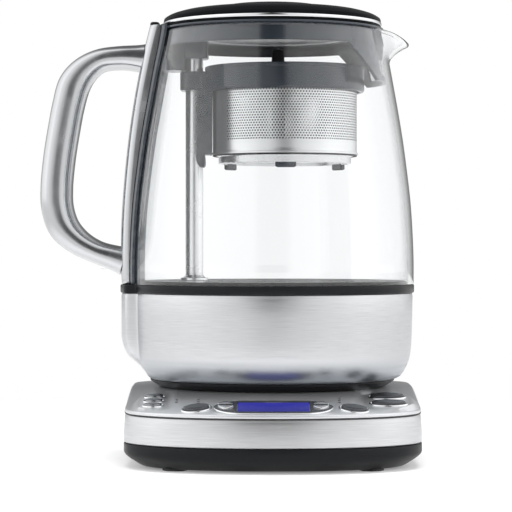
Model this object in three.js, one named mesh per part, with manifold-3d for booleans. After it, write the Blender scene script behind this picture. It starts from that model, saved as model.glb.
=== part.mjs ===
import * as THREE from 'three';
import { mergeVertices } from 'three/addons/utils/BufferGeometryUtils.js';
import Module from 'manifold-3d';

// An automatic tea maker: a glass jug whose motor lowers a tea basket on a post, on a power base with a sloped panel.
// Millimetres, +Z up. Sizes are measured from the jug's axis; the finished group is centred on its own footprint.

// Fits and counts
const clearance = 0.3;
const overrun = 5;
const weldDistance = 0.0001;
const roundSteps = 28;
const lidSteps = 24;
const connectorSteps = 12;
const smallSteps = 8;
const screwSteps = 12;
const baseSteps = 28;
const halvings = 50;
const panelRows = 2;
const panelColumns = 6;
const elementTurns = 10;
const elementSteps = 20;
const arcShares = [1, 0.6, 0.2, -0.2, -0.6, -1];
const cornerTurns = [0, 0.5, 1];
const looseFit = 1.5;

// Power base
const baseHalfWidth = 85;
const frontCentre = 45;
const frontReach = 55;
const frontSquareness = 2.2;
const rearCentre = 50;
const rearReach = 40;
const rearSquareness = 2.8;
const footDrop = 1;
const footRadius = 7;
const footRecess = 1.4;
const footInset = 30;
const trayHeight = 13.2;
const trayWall = 3;
const trayFloor = 2.6;
const trayChamfer = 11;
const trayRollShare = 0.125;
const bandWall = 1.2;
const bandLean = 1;
const deckWall = 2;
const deckLip = 2.4;
const deckSkirt = 6;
const deckSlopeShare = 0.95;
const deckFrontHeight = 33;
const deckRearHeight = 41.5;
const deckRiseStart = 66;
const deckRiseLength = 100;
const seatHeight = 43.2;
const seatRadius = 65;
const screwRadius = 1.6;
const screwHeadRadius = 3;
const screwHeadHeight = 2;
const screwInset = 44;
const bossWall = 1.8;
const bossHeight = 16;
const boardThickness = 1.6;
const boardHeight = 19;
const boardFront = 90;
const boardRear = 36;
const boardInset = 11;
const boardMargin = 7;
const postRadius = 2.6;
const glandRadius = 5;
const glandLength = 9;
const glandFlange = 2;
const glandBore = 3;
const glandHeight = 24;

// Power connector between base and jug
const socketRadius = 17.2;
const socketRise = 7.8;
const socketFlange = 6;
const socketFlangeHeight = 2;
const socketBore = 3;
const grooveRadius = 9;
const grooveWidth = 3;
const grooveDepth = 6;
const contactWall = 1.2;
const contactRecess = 1;
const plugWall = 3.2;
const plugFlange = 6;
const plugFlangeHeight = 1.5;
const plugCap = 2.5;
const plugRoom = 2.5;
const plugPin = 2.4;

// Controls: places on the panel, sizes of the caps and their travel
const buttonTravel = 1;
const buttonRise = 1.4;
const buttonFlange = 1;
const buttonFlangeHeight = 1.2;
const buttonStem = 3;
const stemRadius = 1.8;
const capBevel = 0.7;
const switchHalf = 3;
const ovalLength = 14.4;
const ovalHeight = 10.6;
const largeLength = 19;
const largeHeight = 11.4;
const smallLength = 10;
const smallHeight = 6.6;
const arrowLength = 9.6;
const arrowHeight = 4.6;
const arrowFootShare = 0.9;
const bezelLength = 65;
const bezelHeight = 18.5;
const bezelEndShare = 0.75;
const bezelDepth = 2.6;
const bezelRise = 0.5;
const bezelLine = 87.5;
const windowLength = 39.8;
const windowHeight = 14.6;
const windowSink = 0.4;
const arrowPlace = 26.4;
const arrowSpread = 3.1;
const ovalLeft = 42.7;
const ovalRight = 44.7;
const ovalLine = 84;
const smallInset = 17.5;
const smallLines = [43, 54.5, 66];
const largeInset = 20;
const largeLines = [45, 63];

// Jug: foot, steel shell with the lift column's bulge, and the black band over it
const jugFootHeight = 4.1;
const jugFootRadius = 71.8;
const jugFootTread = 66.5;
const treadWidth = 6.5;
const footPlate = 2;
const shellHeight = 49.9;
const shellRadius = 82.6;
const columnRadius = 88.8;
const columnHalfWidth = 27;
const columnFlank = 4.5;
const flankShares = [0.33, 0.67, 1];
const crownShares = [0.5, 0, -0.5];
const shellWall = 1.2;
const shellFlange = 11;
const bandHeight = 4.9;
const bandRadius = 83.5;
const bandColumn = 89.4;
const bandRound = 0.8;
const bandShelf = 2.1;
const bandShelfWidth = 8.2;
// Height, wall radius and bulge radius, as shares of shellHeight, shellRadius and columnRadius
const shellShares = [
  [0, 0.872, 0.8],
  [0.03, 0.912, 0.82],
  [0.09, 0.939, 0.848],
  [0.27, 0.982, 0.954],
  [0.5, 0.994, 1],
  [1, 1, 1],
];

// Glass jug and its spout
const glassHeight = 148.3;
const glassRadius = 83.2;
const glassWall = 3;
const spoutReach = 15.6;
const spoutDip = 8.6;
const spoutSpread = 26;
const spoutStartShare = 0.86;
const dipPower = 1.8;
const spoutSteps = 4;
// Height and radius, as shares of glassHeight and glassRadius
const glassShares = [
  [0, 1],
  [0.22, 0.991],
  [0.45, 0.952],
  [0.69, 0.888],
  [0.79, 0.856],
  [0.86, 0.833],
  [0.93, 0.808],
  [1, 0.786],
];

// Floor plate, its seal, the heating element and the lift drive
const floorThickness = 1.5;
const floorRim = 3;
const floorRimWall = 1.5;
const sealWidth = 3.4;
const sealHeight = 4.6;
const sealEdgeShare = 0.9;
const elementRadius = 26;
const elementTube = 3.4;
const elementGap = 50;
const elementLeg = 12;
const postPlace = 46;
const liftPostRadius = 5.2;
const liftPostWall = 1;
const postDrop = 9.8;
const liftPostFlange = 3;
const liftPostFlangeHeight = 1.5;
const motorRadius = 13;
const motorHeight = 27;
const motorShaft = 2;
const motorShaftRise = 3;
const screwRodRadius = 2.6;
const nutLength = 9;

// Handle: chrome spine up the glass, its dark backing and the grip
const spineRadius = 88.3;
const spineRise = 3;
const spineHalfWidth = 18;
const spineCorner = 4;
const liningWall = 1.5;
const liningOverlap = 6.5;
// Height and outer reach, as shares of the strip's height and spineRadius
const spineShares = [
  [0, 0.996],
  [0.09, 1],
  [0.25, 0.996],
  [0.41, 0.977],
  [0.57, 0.948],
  [0.73, 0.907],
  [0.885, 0.854],
  [1, 0.807],
];
const gripReach = 127;
const gripHeight = 119;
const gripThickness = 18.6;
const gripHalfWidth = 16;
const gripSquareness = 3;
const gripSteps = 22;
const gripSection = 10;
// Reach from the jug axis, height above the lower arm and thickness, as shares of gripReach, gripHeight, gripThickness
const gripShares = [
  [0.58, 1, 0.69],
  [0.7, 1.005, 0.69],
  [0.8, 0.99, 0.72],
  [0.872, 0.94, 0.88],
  [0.918, 0.872, 1],
  [0.945, 0.772, 1],
  [0.966, 0.655, 1],
  [0.988, 0.505, 1],
  [1, 0.36, 1],
  [0.996, 0.26, 1],
  [0.968, 0.17, 0.98],
  [0.906, 0.1, 0.84],
  [0.82, 0.048, 0.7],
  [0.72, 0.012, 0.68],
  [0.62, -0.022, 0.68],
];
const gripRise = 13.3;
const gripScrewRadius = 2;
const gripScrewLength = 13;
const gripScrewHead = 4;
const gripScrewHeadHeight = 1;
const gripScrewSeat = 1.2;

// Collar in the glass's mouth, with the post's bracket and the pouring filter's apron
const collarHeight = 14.6;
const collarWall = 2.5;
const collarLip = 1.2;
const collarLipWidth = 5.4;
const bracketHalfWidth = 10;
const bracketDrop = 7;
const bracketWall = 3;
const bracketHeight = 8;
const apronWall = 2;
const apronDrop = 16.5;
const apronTopSpread = 96;
const apronFootSpread = 54;
const filterWall = 0.6;
const filterHeight = 10;
const filterSpread = 44;
const filterMargin = 3.4;

// Tea basket on its carrier
const basketPlace = 7.4;
const basketRimRadius = 46.8;
const basketRimHeight = 14.9;
const basketRimWall = 2.6;
const basketLedge = 1.4;
const basketLedgeDrop = 4.8;
const basketLedgeHeight = 1.6;
const drumRadius = 42.4;
const drumWall = 0.8;
const drumDepth = 48.2;
const drumFlange = 0.8;
const drumFlangeHeight = 1.1;
const twistRadius = 39;
const twistHeight = 5;
const twistWall = 2.4;
const twistFloor = 1;
const twistNeck = 3;
const twistLugs = 3;
const twistLugLength = 12;
const twistLugWidth = 3;
const twistLugDrop = 3;
const basketLidHeight = 1.5;
const basketStemRadius = 3.85;
const basketStemRise = 14.2;
const basketStemDrop = 43;
const basketStemOffset = 4;
const carrierReach = 8.2;
const carrierHalfWidth = 11;
const carrierHeight = 11;
const carrierGap = 0.7;
const carrierLift = 1;
const carrierBlade = 37.6;
const carrierTip = 8;
const carrierTipLength = 7.4;
const carrierBladeStep = 1;
const magnetWall = 1.6;
const magnetHeight = 8;

// Lid
const lidRadius = 64;
const lidWall = 2;
const domeShare = 0.812;
const lidSide = 5.4;
const lidRise = 11.1;
const lidFlatRadius = 44;
const trimHeight = 2;
const trimStart = 1;
const trimDepth = 1;
const trimProud = 0.3;
const knobRadius = 28.5;
const knobHeight = 2.6;
const knobBevel = 1.2;
const linerRadius = 57.2;
const linerWall = 1.6;
const linerDrop = 6.8;
const lidSealWidth = 1.9;
const lidSealHeight = 2.4;

// Levels above the table, each stacked on the one below
const trayTop = footDrop + trayHeight;
const bandFoot = trayTop + clearance;
const jugFootLevel = seatHeight + clearance;
const shellLevel = jugFootLevel + jugFootHeight + clearance;
const jugBandLevel = shellLevel + shellHeight + clearance;
const glassLevel = jugBandLevel + bandHeight + clearance;
const shelfLevel = jugBandLevel + bandShelf;
const floorLevel = shelfLevel + clearance + floorRim;
const floorTop = floorLevel + floorThickness;
const gripFoot = glassLevel + gripRise;
const rimLevel = glassLevel + glassHeight;
const collarTop = rimLevel + clearance + collarLip;
const lidLevel = collarTop + clearance;
const postLevel = floorTop + clearance;
const postTop = collarTop - postDrop;
const liftPostHeight = postTop - postLevel;
const carrierFoot = postTop - bracketHeight - bracketDrop - carrierGap - carrierHeight;
const basketRimFoot = carrierFoot - carrierLift;
const drumTop = basketRimFoot + basketRimHeight - basketLedgeDrop + clearance + drumFlangeHeight;
const drumFoot = drumTop - drumDepth;
const basketLidLevel = drumTop + clearance;

// Surface finishes
function finish(color, roughness, metalness, opacity = 1) {
  return new THREE.MeshStandardMaterial({ color, roughness, metalness, opacity, transparent: opacity < 1 });
}
const brushedSteel = finish(0xc4c6c8, 0.32, 1);
const plainSteel = finish(0xd0d2d4, 0.25, 1);
const chrome = finish(0xdcdee0, 0.08, 1);
const silverPlastic = finish(0xc2c3c6, 0.35, 0.6);
const blackPlastic = finish(0x17181a, 0.4, 0);
const greyPlastic = finish(0x4c5158, 0.38, 0);
const darkOval = finish(0x3b3d42, 0.25, 0.3);
const blueDisplay = finish(0x20209a, 0.15, 0);
const clearGlass = finish(0xf2f5f6, 0.03, 0, 0.25);
const softRubber = finish(0x26272a, 0.8, 0);
const brass = finish(0xb08d4a, 0.35, 1);
const circuitGreen = finish(0x1d5a37, 0.6, 0);
const magnetGrey = finish(0x6c6e72, 0.4, 0.8);

// Solids: weld a geometry into one closed body, cut and join bodies
const wasm = await Module();
wasm.setup();

function weld(geometry) {
  const bare = new THREE.BufferGeometry();
  bare.setAttribute('position', geometry.getAttribute('position').clone());
  if (geometry.index) bare.setIndex(geometry.index.clone());
  const merged = mergeVertices(bare, weldDistance);
  const corners = merged.index.array;
  const kept = [];
  for (let i = 0; i < corners.length; i += 3) {
    const [a, b, c] = corners.slice(i, i + 3);
    if (a !== b && b !== c && c !== a) kept.push(a, b, c);
  }
  merged.setIndex(volumeOf(merged, kept) < 0 ? kept.reverse() : kept);
  return merged;
}

function volumeOf(geometry, corners) {
  const place = geometry.getAttribute('position');
  const [a, b, c] = [new THREE.Vector3(), new THREE.Vector3(), new THREE.Vector3()];
  let total = 0;
  for (let i = 0; i < corners.length; i += 3) {
    a.fromBufferAttribute(place, corners[i]);
    b.fromBufferAttribute(place, corners[i + 1]);
    c.fromBufferAttribute(place, corners[i + 2]);
    total += a.dot(b.cross(c));
  }
  return total;
}

function solidOf(geometry) {
  const body = weld(geometry);
  const vertProperties = new Float32Array(body.getAttribute('position').array);
  const triVerts = new Uint32Array(body.index.array);
  return new wasm.Manifold(new wasm.Mesh({ numProp: 3, vertProperties, triVerts }));
}

function geometryOf(solid) {
  const mesh = solid.getMesh();
  const geometry = new THREE.BufferGeometry();
  geometry.setAttribute('position', new THREE.BufferAttribute(new Float32Array(mesh.vertProperties), 3));
  geometry.setIndex(Array.from(mesh.triVerts));
  return geometry;
}

function cut(body, ...tools) {
  return geometryOf(tools.reduce((rest, tool) => rest.subtract(solidOf(tool)), solidOf(body)));
}

function join(body, ...others) {
  return geometryOf(others.reduce((whole, other) => whole.add(solidOf(other)), solidOf(body)));
}

// A profile of [radius, height] points turned about +Z; closed profiles come back to their first point
function turned(points, { steps = roundSteps, closed = false } = {}) {
  const profile = points.map(([radius, height]) => new THREE.Vector2(radius, height));
  if (closed) profile.push(profile[0].clone());
  return new THREE.LatheGeometry(profile, steps).rotateX(Math.PI / 2);
}

function disc(radius, foot, top, steps = smallSteps) {
  return turned([[0, foot], [radius, foot], [radius, top], [0, top]], { steps });
}

function ring(inner, outer, foot, top, steps = roundSteps) {
  return turned([[inner, foot], [outer, foot], [outer, top], [inner, top]], { steps, closed: true });
}

function block(low, high) {
  const size = low.map((value, axis) => high[axis] - value);
  const middle = low.map((value, axis) => (value + high[axis]) / 2);
  return new THREE.BoxGeometry(...size).translate(...middle);
}

// Rings of points skinned into one body: capped at both ends, or joined end to end when looped
function skinned(rings, { looped = false } = {}) {
  const count = rings[0].length;
  const positions = rings.flat().flatMap((point) => [point.x, point.y, point.z]);
  const corners = [];
  const spans = looped ? rings.length : rings.length - 1;
  for (let i = 0; i < spans; i++) {
    const next = (i + 1) % rings.length;
    for (let j = 0; j < count; j++) {
      const side = (j + 1) % count;
      const [a, b] = [i * count + j, i * count + side];
      const [c, d] = [next * count + side, next * count + j];
      corners.push(a, b, c, a, c, d);
    }
  }
  if (!looped) {
    corners.push(...capOf(rings[0]).reverse());
    corners.push(...capOf(rings.at(-1)).map((corner) => corner + (rings.length - 1) * count));
  }
  const geometry = new THREE.BufferGeometry();
  geometry.setAttribute('position', new THREE.Float32BufferAttribute(positions, 3));
  geometry.setIndex(corners);
  return weld(geometry);
}

// Triangles over a flat ring, wound the way the ring runs
function capOf(points) {
  const normal = new THREE.Vector3();
  points.forEach((point, i) => normal.add(point.clone().cross(points[(i + 1) % points.length])));
  const across = new THREE.Vector3(Math.abs(normal.x) > Math.abs(normal.z) ? 0 : 1, 0, 0);
  if (across.x === 0) across.set(0, 1, 0);
  const first = across.projectOnPlane(normal.clone().normalize()).normalize();
  const second = normal.clone().normalize().cross(first);
  const flat = points.map((point) => new THREE.Vector2(point.dot(first), point.dot(second)));
  return THREE.ShapeUtils.triangulateShape(flat, []).flat();
}

function part(name, geometry, material) {
  const mesh = new THREE.Mesh(weld(geometry), material);
  mesh.name = name;
  return mesh;
}

// Straight-line reading of a table of shares: the column's value where the first column is `share`
function readTable(table, share, column = 1) {
  const last = table.length - 1;
  const found = table.findIndex((row) => row[0] >= share);
  const upper = found < 0 ? last : Math.max(1, found);
  const [from, to] = [table[upper - 1], table[upper]];
  const part = THREE.MathUtils.clamp((share - from[0]) / (to[0] - from[0]), 0, 1);
  return THREE.MathUtils.lerp(from[column], to[column], part);
}

// Plan outline of the base: straight sides with rounded front and rear ends
function outlineValue(x, y, inset) {
  const across = Math.abs(x) / (baseHalfWidth - inset);
  if (y < -frontCentre) {
    const along = (-frontCentre - y) / (frontReach - inset);
    return across ** frontSquareness + along ** frontSquareness;
  }
  if (y > rearCentre) {
    const along = (y - rearCentre) / (rearReach - inset);
    return across ** rearSquareness + along ** rearSquareness;
  }
  return across;
}

function outlineRadius(angle, inset) {
  let inside = 0;
  let outside = baseHalfWidth + frontCentre + frontReach;
  for (let i = 0; i < halvings; i++) {
    const middle = (inside + outside) / 2;
    const value = outlineValue(middle * Math.cos(angle), middle * Math.sin(angle), inset);
    if (value < 1) inside = middle;
    else outside = middle;
  }
  return inside;
}

function baseRing(inset, heightAt) {
  const points = [];
  for (let i = 0; i < baseSteps; i++) {
    const angle = (2 * Math.PI * i) / baseSteps;
    const radius = outlineRadius(angle, inset);
    const [x, y] = [radius * Math.cos(angle), radius * Math.sin(angle)];
    points.push(new THREE.Vector3(x, y, heightAt(y)));
  }
  return points;
}

// Height of the deck's edge, low in front and rising along the sides
function edgeHeight(y) {
  const share = THREE.MathUtils.smoothstep(y, -deckRiseStart, deckRiseLength - deckRiseStart);
  return THREE.MathUtils.lerp(deckFrontHeight, deckRearHeight, share);
}

// Deck surface: flat seat, then straight down to the edge
function deckHeight(x, y) {
  const radius = Math.hypot(x, y);
  const edge = outlineRadius(Math.atan2(y, x), bandLean);
  const share = THREE.MathUtils.clamp((radius - seatRadius) / (edge - seatRadius), 0, 1);
  return THREE.MathUtils.lerp(seatHeight, edgeHeight((y * edge) / Math.max(radius, weldDistance)), share);
}

// Frame of a control on the deck: its place and a turn that stands its own +Z square to the surface
function deckFrame(x, y) {
  const step = clearance;
  const slopeX = (deckHeight(x + step, y) - deckHeight(x - step, y)) / (2 * step);
  const slopeY = (deckHeight(x, y + step) - deckHeight(x, y - step)) / (2 * step);
  const normal = new THREE.Vector3(-slopeX, -slopeY, 1).normalize();
  const right = new THREE.Vector3(1, 0, slopeX).normalize();
  const frame = new THREE.Matrix4().makeBasis(right, normal.clone().cross(right), normal);
  return frame.setPosition(x, y, deckHeight(x, y));
}

function deckSection(radiusShare, drop) {
  const points = [];
  for (let i = 0; i < baseSteps; i++) {
    const angle = (2 * Math.PI * i) / baseSteps;
    const edge = outlineRadius(angle, bandLean);
    const radius = THREE.MathUtils.lerp(seatRadius, edge, radiusShare);
    const [x, y] = [radius * Math.cos(angle), radius * Math.sin(angle)];
    points.push(new THREE.Vector3(x, y, deckHeight(x, y) - drop));
  }
  return points;
}

function circleRing(radius, height, steps = baseSteps) {
  const points = [];
  for (let i = 0; i < steps; i++) {
    const angle = (2 * Math.PI * i) / steps;
    points.push(new THREE.Vector3(radius * Math.cos(angle), radius * Math.sin(angle), height));
  }
  return points;
}

const cornerPlaces = [];
for (const side of [-1, 1]) {
  cornerPlaces.push([side, -1]);
  cornerPlaces.push([side, 1]);
}

function cornerPoint([across, along], inset) {
  const centre = along < 0 ? frontCentre : rearCentre;
  const reach = centre + (along < 0 ? frontReach : rearReach);
  return [across * (baseHalfWidth - inset), along * (reach - inset)];
}

const screwPlaces = cornerPlaces.map((corner) => cornerPoint(corner, screwInset));
const footPlaces = cornerPlaces.map((corner) => cornerPoint(corner, footInset));

// Tray: an open pan with a chamfered foot, recesses for the feet and posts for the board
function makeTray() {
  const level = (height) => () => height;
  const shoulder = footDrop + trayHeight / 2;
  const rings = [
    baseRing(trayChamfer, level(footDrop)),
    baseRing(trayChamfer / 2, level(footDrop + trayHeight * trayRollShare)),
    baseRing(0, level(shoulder)),
    baseRing(0, level(trayTop)),
    baseRing(trayWall, level(trayTop)),
    baseRing(trayWall, level(shoulder)),
    baseRing(trayWall + trayChamfer, level(footDrop + trayFloor)),
  ];
  const recesses = footPlaces.map(([x, y]) =>
    disc(footRadius + clearance, -overrun, footDrop + footRecess + clearance).translate(x, y, 0));
  const holes = screwPlaces.map(([x, y]) =>
    disc(screwRadius + clearance, -overrun, footDrop + trayFloor + overrun).translate(x, y, 0));
  const seats = screwPlaces.map(([x, y]) =>
    disc(screwHeadRadius + clearance, -overrun, footDrop + screwHeadHeight / 2).translate(x, y, 0));
  const posts = boardPosts.map(([x, y]) =>
    disc(postRadius, footDrop + trayFloor / 2, boardHeight - clearance).translate(x, y, 0));
  return cut(join(skinned(rings), ...posts), ...recesses, ...holes, ...seats);
}

const boardPosts = [[-1, -1], [1, -1], [-1, 1], [1, 1]].map(([across, along]) => {
  const middle = (boardFront + boardRear) / 2;
  const reach = (boardFront - boardRear) / 4;
  return [(across * (baseHalfWidth - boardInset)) / 2, -middle + along * reach];
});

// Steel band round the base, following the deck's edge
function makeBand() {
  const top = (y) => edgeHeight(y) - deckLip - clearance;
  const rings = [
    baseRing(0, () => bandFoot),
    baseRing(bandLean, top),
    baseRing(bandLean + bandWall, top),
    baseRing(bandWall, () => bandFoot),
  ];
  const gland = disc(glandRadius + clearance, -overrun - bandWall, overrun)
    .rotateX(Math.PI / 2).translate(0, rearCentre + rearReach, glandHeight);
  return cut(skinned(rings, { looped: true }), gland);
}

// Deck: seat and sloped panel in one moulding, with a skirt inside the band and a slot for each control
function makeDeck() {
  const hole = socketRadius + clearance;
  const skirtInset = bandLean + bandWall + clearance;
  const rings = [
    circleRing(hole, seatHeight),
    circleRing(seatRadius, seatHeight),
    deckSection(deckSlopeShare, 0),
    baseRing(bandLean - clearance, (y) => edgeHeight(y) - deckLip),
    baseRing(skirtInset, (y) => edgeHeight(y) - deckLip),
    baseRing(skirtInset, (y) => edgeHeight(y) - deckLip - deckSkirt),
    baseRing(skirtInset + deckWall, (y) => edgeHeight(y) - deckLip - deckSkirt),
    baseRing(skirtInset + deckWall, (y) => edgeHeight(y) - deckLip),
    deckSection(1 - deckWall / (baseHalfWidth - seatRadius) * 2, deckWall),
    circleRing(seatRadius, seatHeight - deckWall),
    circleRing(hole, seatHeight - deckWall),
  ];
  const bosses = screwPlaces.map(([x, y]) =>
    disc(screwRadius + clearance + bossWall, footDrop + trayFloor + clearance, deckHeight(x, y) - deckWall / 2)
      .translate(x, y, 0));
  const bores = screwPlaces.map(([x, y]) =>
    disc(screwRadius + clearance, 0, footDrop + bossHeight + clearance).translate(x, y, 0));
  const slots = controls.filter(({ inBezel }) => !inBezel).flatMap((control) => [
    capBody(control.shape, -overrun, overrun, clearance).applyMatrix4(controlFrame(control)),
    capBody(control.shape, -2 * overrun, -deckThickness, buttonFlange + 2 * clearance)
      .applyMatrix4(controlFrame(control)),
  ]);
  const pocket = capBody(bezelShape, -bezelDepth - overrun, overrun, clearance).applyMatrix4(bezelFrame());
  const body = join(skinned(rings, { looped: true }), ...bosses);
  return cut(body, ...bores, ...slots, pocket);
}

const deckThickness = deckWall / Math.cos(Math.PI / 6);

// Control shapes, each an outline about its own centre
function ovalShape(length, height) {
  return (grow) => new THREE.Shape().absellipse(0, 0, length / 2 + grow, height / 2 + grow, 0, 2 * Math.PI);
}

function arrowShape(up) {
  return (grow) => {
    const [half, tall] = [arrowLength / 2 + grow, arrowHeight / 2 + grow];
    const shape = new THREE.Shape();
    shape.moveTo(-half * arrowFootShare, -up * tall);
    shape.lineTo(half * arrowFootShare, -up * tall);
    shape.lineTo(half, (-up * tall) / 2);
    shape.quadraticCurveTo(half / 2, up * tall, 0, up * tall);
    shape.quadraticCurveTo(-half / 2, up * tall, -half, (-up * tall) / 2);
    return shape;
  };
}

function bezelShape(grow) {
  const [half, tall] = [bezelLength / 2 + grow, bezelHeight / 2 + grow];
  const straight = half - bezelHeight * bezelEndShare;
  const shape = new THREE.Shape();
  shape.moveTo(-straight, -tall);
  shape.lineTo(straight, -tall);
  shape.absellipse(straight, 0, half - straight, tall, -Math.PI / 2, Math.PI / 2);
  shape.lineTo(-straight, tall);
  shape.absellipse(-straight, 0, half - straight, tall, Math.PI / 2, (3 * Math.PI) / 2);
  return shape;
}

function windowShape(grow) {
  const [half, tall] = [windowLength / 2 + grow, windowHeight / 2 + grow];
  const shape = new THREE.Shape();
  shape.moveTo(-half, -tall);
  shape.lineTo(half, -tall);
  shape.lineTo(half, tall);
  shape.quadraticCurveTo(0, tall + windowSink, -half, tall);
  return shape;
}

function capBody(shape, foot, top, grow = 0, bevel = 0) {
  const settings = { depth: top - foot - bevel, bevelEnabled: bevel > 0, bevelThickness: bevel, curveSegments: 3 };
  settings.bevelSize = bevel;
  settings.bevelSegments = 1;
  if (bevel === 0) return new THREE.ExtrudeGeometry(shape(grow), settings).translate(0, 0, foot);
  settings.depth = top - foot - 2 * bevel;
  return new THREE.ExtrudeGeometry(shape(grow - bevel), settings).translate(0, 0, foot + bevel);
}

const bezelFrame = () => deckFrame(0, -bezelLine);

const controls = [
  ...smallLines.map((line, i) => ({
    name: ['basket_button', 'auto_start_button', 'keep_warm_button'][i],
    shape: ovalShape(smallLength, smallHeight),
    place: [smallInset - baseHalfWidth, -line],
    material: chrome,
  })),
  { name: 'tea_type_button', shape: ovalShape(ovalLength, ovalHeight), place: [-ovalLeft, -ovalLine], material: darkOval },
  { name: 'strength_button', shape: ovalShape(ovalLength, ovalHeight), place: [ovalRight, -ovalLine], material: darkOval },
  ...largeLines.map((line, i) => ({
    name: ['tea_start_button', 'water_start_button'][i],
    shape: ovalShape(largeLength, largeHeight),
    place: [baseHalfWidth - largeInset, -line],
    material: darkOval,
  })),
  ...[['temperature', -1], ['time', 1]].flatMap(([word, side]) => [1, -1].map((up) => ({
    name: `${word}_${up > 0 ? 'up' : 'down'}_button`,
    shape: arrowShape(up),
    place: [side * arrowPlace, up * arrowSpread],
    material: chrome,
    inBezel: true,
  }))),
];

function controlFrame({ place, inBezel }) {
  if (!inBezel) return deckFrame(...place);
  return bezelFrame().multiply(new THREE.Matrix4().makeTranslation(place[0], place[1], bezelRise));
}

// A button: crowned cap through the deck, a flange that stops it under the deck and a stem to its switch
function makeButton(control) {
  const thickness = control.inBezel ? bezelDepth + bezelRise : deckThickness;
  const flangeTop = -thickness - clearance;
  const bevel = control.inBezel ? capBevel / 2 : capBevel;
  const cap = capBody(control.shape, flangeTop - buttonFlangeHeight / 2, buttonRise, 0, bevel);
  const grow = control.inBezel ? buttonFlange / 2 : buttonFlange;
  const flange = capBody(control.shape, flangeTop - buttonFlangeHeight, flangeTop, grow + clearance);
  const stem = disc(stemRadius, flangeTop - buttonFlangeHeight - buttonStem, flangeTop - buttonFlangeHeight / 2);
  return join(cap, flange, stem).applyMatrix4(controlFrame(control));
}

function makeBezel() {
  const body = capBody(bezelShape, -bezelDepth, bezelRise, 0, bezelRise / 2);
  const glass = capBody(windowShape, -bezelDepth - overrun, overrun, clearance);
  const arrows = controls.filter((control) => control.inBezel).map(({ shape, place }) =>
    capBody(shape, -bezelDepth - overrun, overrun, looseFit * clearance).translate(place[0], place[1], 0));
  return cut(body, glass, ...arrows).applyMatrix4(bezelFrame());
}

function makeWindow() {
  return capBody(windowShape, -bezelDepth, bezelRise - windowSink).applyMatrix4(bezelFrame());
}

// Circuit board on its posts, with a switch under each button and the display module under its window
function makeBoard() {
  const outline = new THREE.Shape(baseRing(boardMargin, () => 0).map((point) => new THREE.Vector2(point.x, point.y)));
  const sheet = new THREE.ExtrudeGeometry(outline, { depth: boardThickness, bevelEnabled: false });
  const rest = block([-baseHalfWidth, -boardRear, -overrun], [baseHalfWidth, rearCentre + rearReach, overrun]);
  const stemEnd = (control) => {
    const thickness = control.inBezel ? bezelDepth + bezelRise : deckThickness;
    const drop = thickness + clearance + buttonFlangeHeight + buttonStem;
    return new THREE.Vector3(0, 0, -drop - buttonTravel - clearance).applyMatrix4(controlFrame(control));
  };
  const switches = controls.map((control) => {
    const top = stemEnd(control);
    const lift = stemRadius / 2;
    return block([top.x - switchHalf, top.y - stemRadius, boardHeight + boardThickness / 2],
      [top.x + switchHalf, top.y + stemRadius, top.z - lift]);
  });
  const sunk = new THREE.Vector3(0, 0, -bezelDepth - clearance * 2).applyMatrix4(bezelFrame());
  const module = block([-windowLength / 3, sunk.y - stemRadius, boardHeight + boardThickness / 2],
    [windowLength / 3, sunk.y + stemRadius, sunk.z - stemRadius / 2]);
  const holes = screwPlaces.map(([x, y]) => disc(screwRadius + bossWall + clearance * 3, 0, seatHeight).translate(x, y, 0));
  return cut(join(cut(sheet, rest).translate(0, 0, boardHeight), ...switches, module), ...holes);
}

// Connector boss in the deck's hole, with a groove for the ring contact and a bore for the centre pin
function makeSocket() {
  const top = seatHeight + socketRise;
  const under = seatHeight - deckWall - clearance;
  const foot = under - socketFlangeHeight;
  const body = turned([
    [socketBore, foot],
    [socketRadius + socketFlange, foot],
    [socketRadius + socketFlange, under],
    [socketRadius, under],
    [socketRadius, top - bandRound],
    [socketRadius - bandRound, top],
    [grooveRadius + grooveWidth, top],
    [grooveRadius + grooveWidth, top - grooveDepth],
    [grooveRadius, top - grooveDepth],
    [grooveRadius, top],
    [socketBore, top],
  ], { steps: connectorSteps, closed: true });
  return body;
}

function makeContact() {
  const top = seatHeight + socketRise;
  const inner = grooveRadius + (grooveWidth - contactWall) / 2;
  return ring(inner, inner + contactWall, top - grooveDepth + clearance, top - contactRecess, connectorSteps);
}

function makeGland() {
  const wall = rearCentre + rearReach - bandLean / 2;
  const body = turned([
    [glandBore, -glandLength / 2],
    [glandRadius + glandFlange, -glandLength / 2],
    [glandRadius + glandFlange, -bandWall - clearance],
    [glandRadius, -bandWall - clearance],
    [glandRadius, glandFlange / 2],
    [glandBore, glandFlange / 2],
  ], { steps: smallSteps, closed: true });
  return body.rotateX(-Math.PI / 2).translate(0, wall, glandHeight);
}

function makeFoot([x, y]) {
  return disc(footRadius, 0, footDrop + footRecess).translate(x, y, 0);
}

function makeBaseScrew([x, y]) {
  const foot = footDrop - screwHeadHeight / 2 + clearance;
  return turned([
    [0, foot],
    [screwHeadRadius, foot],
    [screwHeadRadius, footDrop + screwHeadHeight / 2 - clearance],
    [screwRadius, footDrop + screwHeadHeight / 2 - clearance],
    [screwRadius, footDrop + bossHeight],
    [0, footDrop + bossHeight],
  ], { steps: smallSteps }).translate(x, y, 0);
}

// Angles round the jug, closer together where the lift column bulges at the back of the handle
function columnAngles() {
  const angles = [];
  const outer = Math.asin(columnHalfWidth / shellRadius);
  const inner = Math.asin((columnHalfWidth - columnFlank) / shellRadius);
  const coarse = Math.round((roundSteps * (Math.PI - outer)) / Math.PI);
  for (let i = 0; i <= coarse; i++) angles.push(-Math.PI + outer + (2 * (Math.PI - outer) * i) / coarse);
  for (const share of flankShares) angles.push(Math.PI - THREE.MathUtils.lerp(outer, inner, share));
  for (const share of crownShares) angles.push(Math.PI - inner * share);
  for (const share of flankShares.toReversed()) angles.push(Math.PI + THREE.MathUtils.lerp(outer, inner, share));
  return angles;
}

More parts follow.
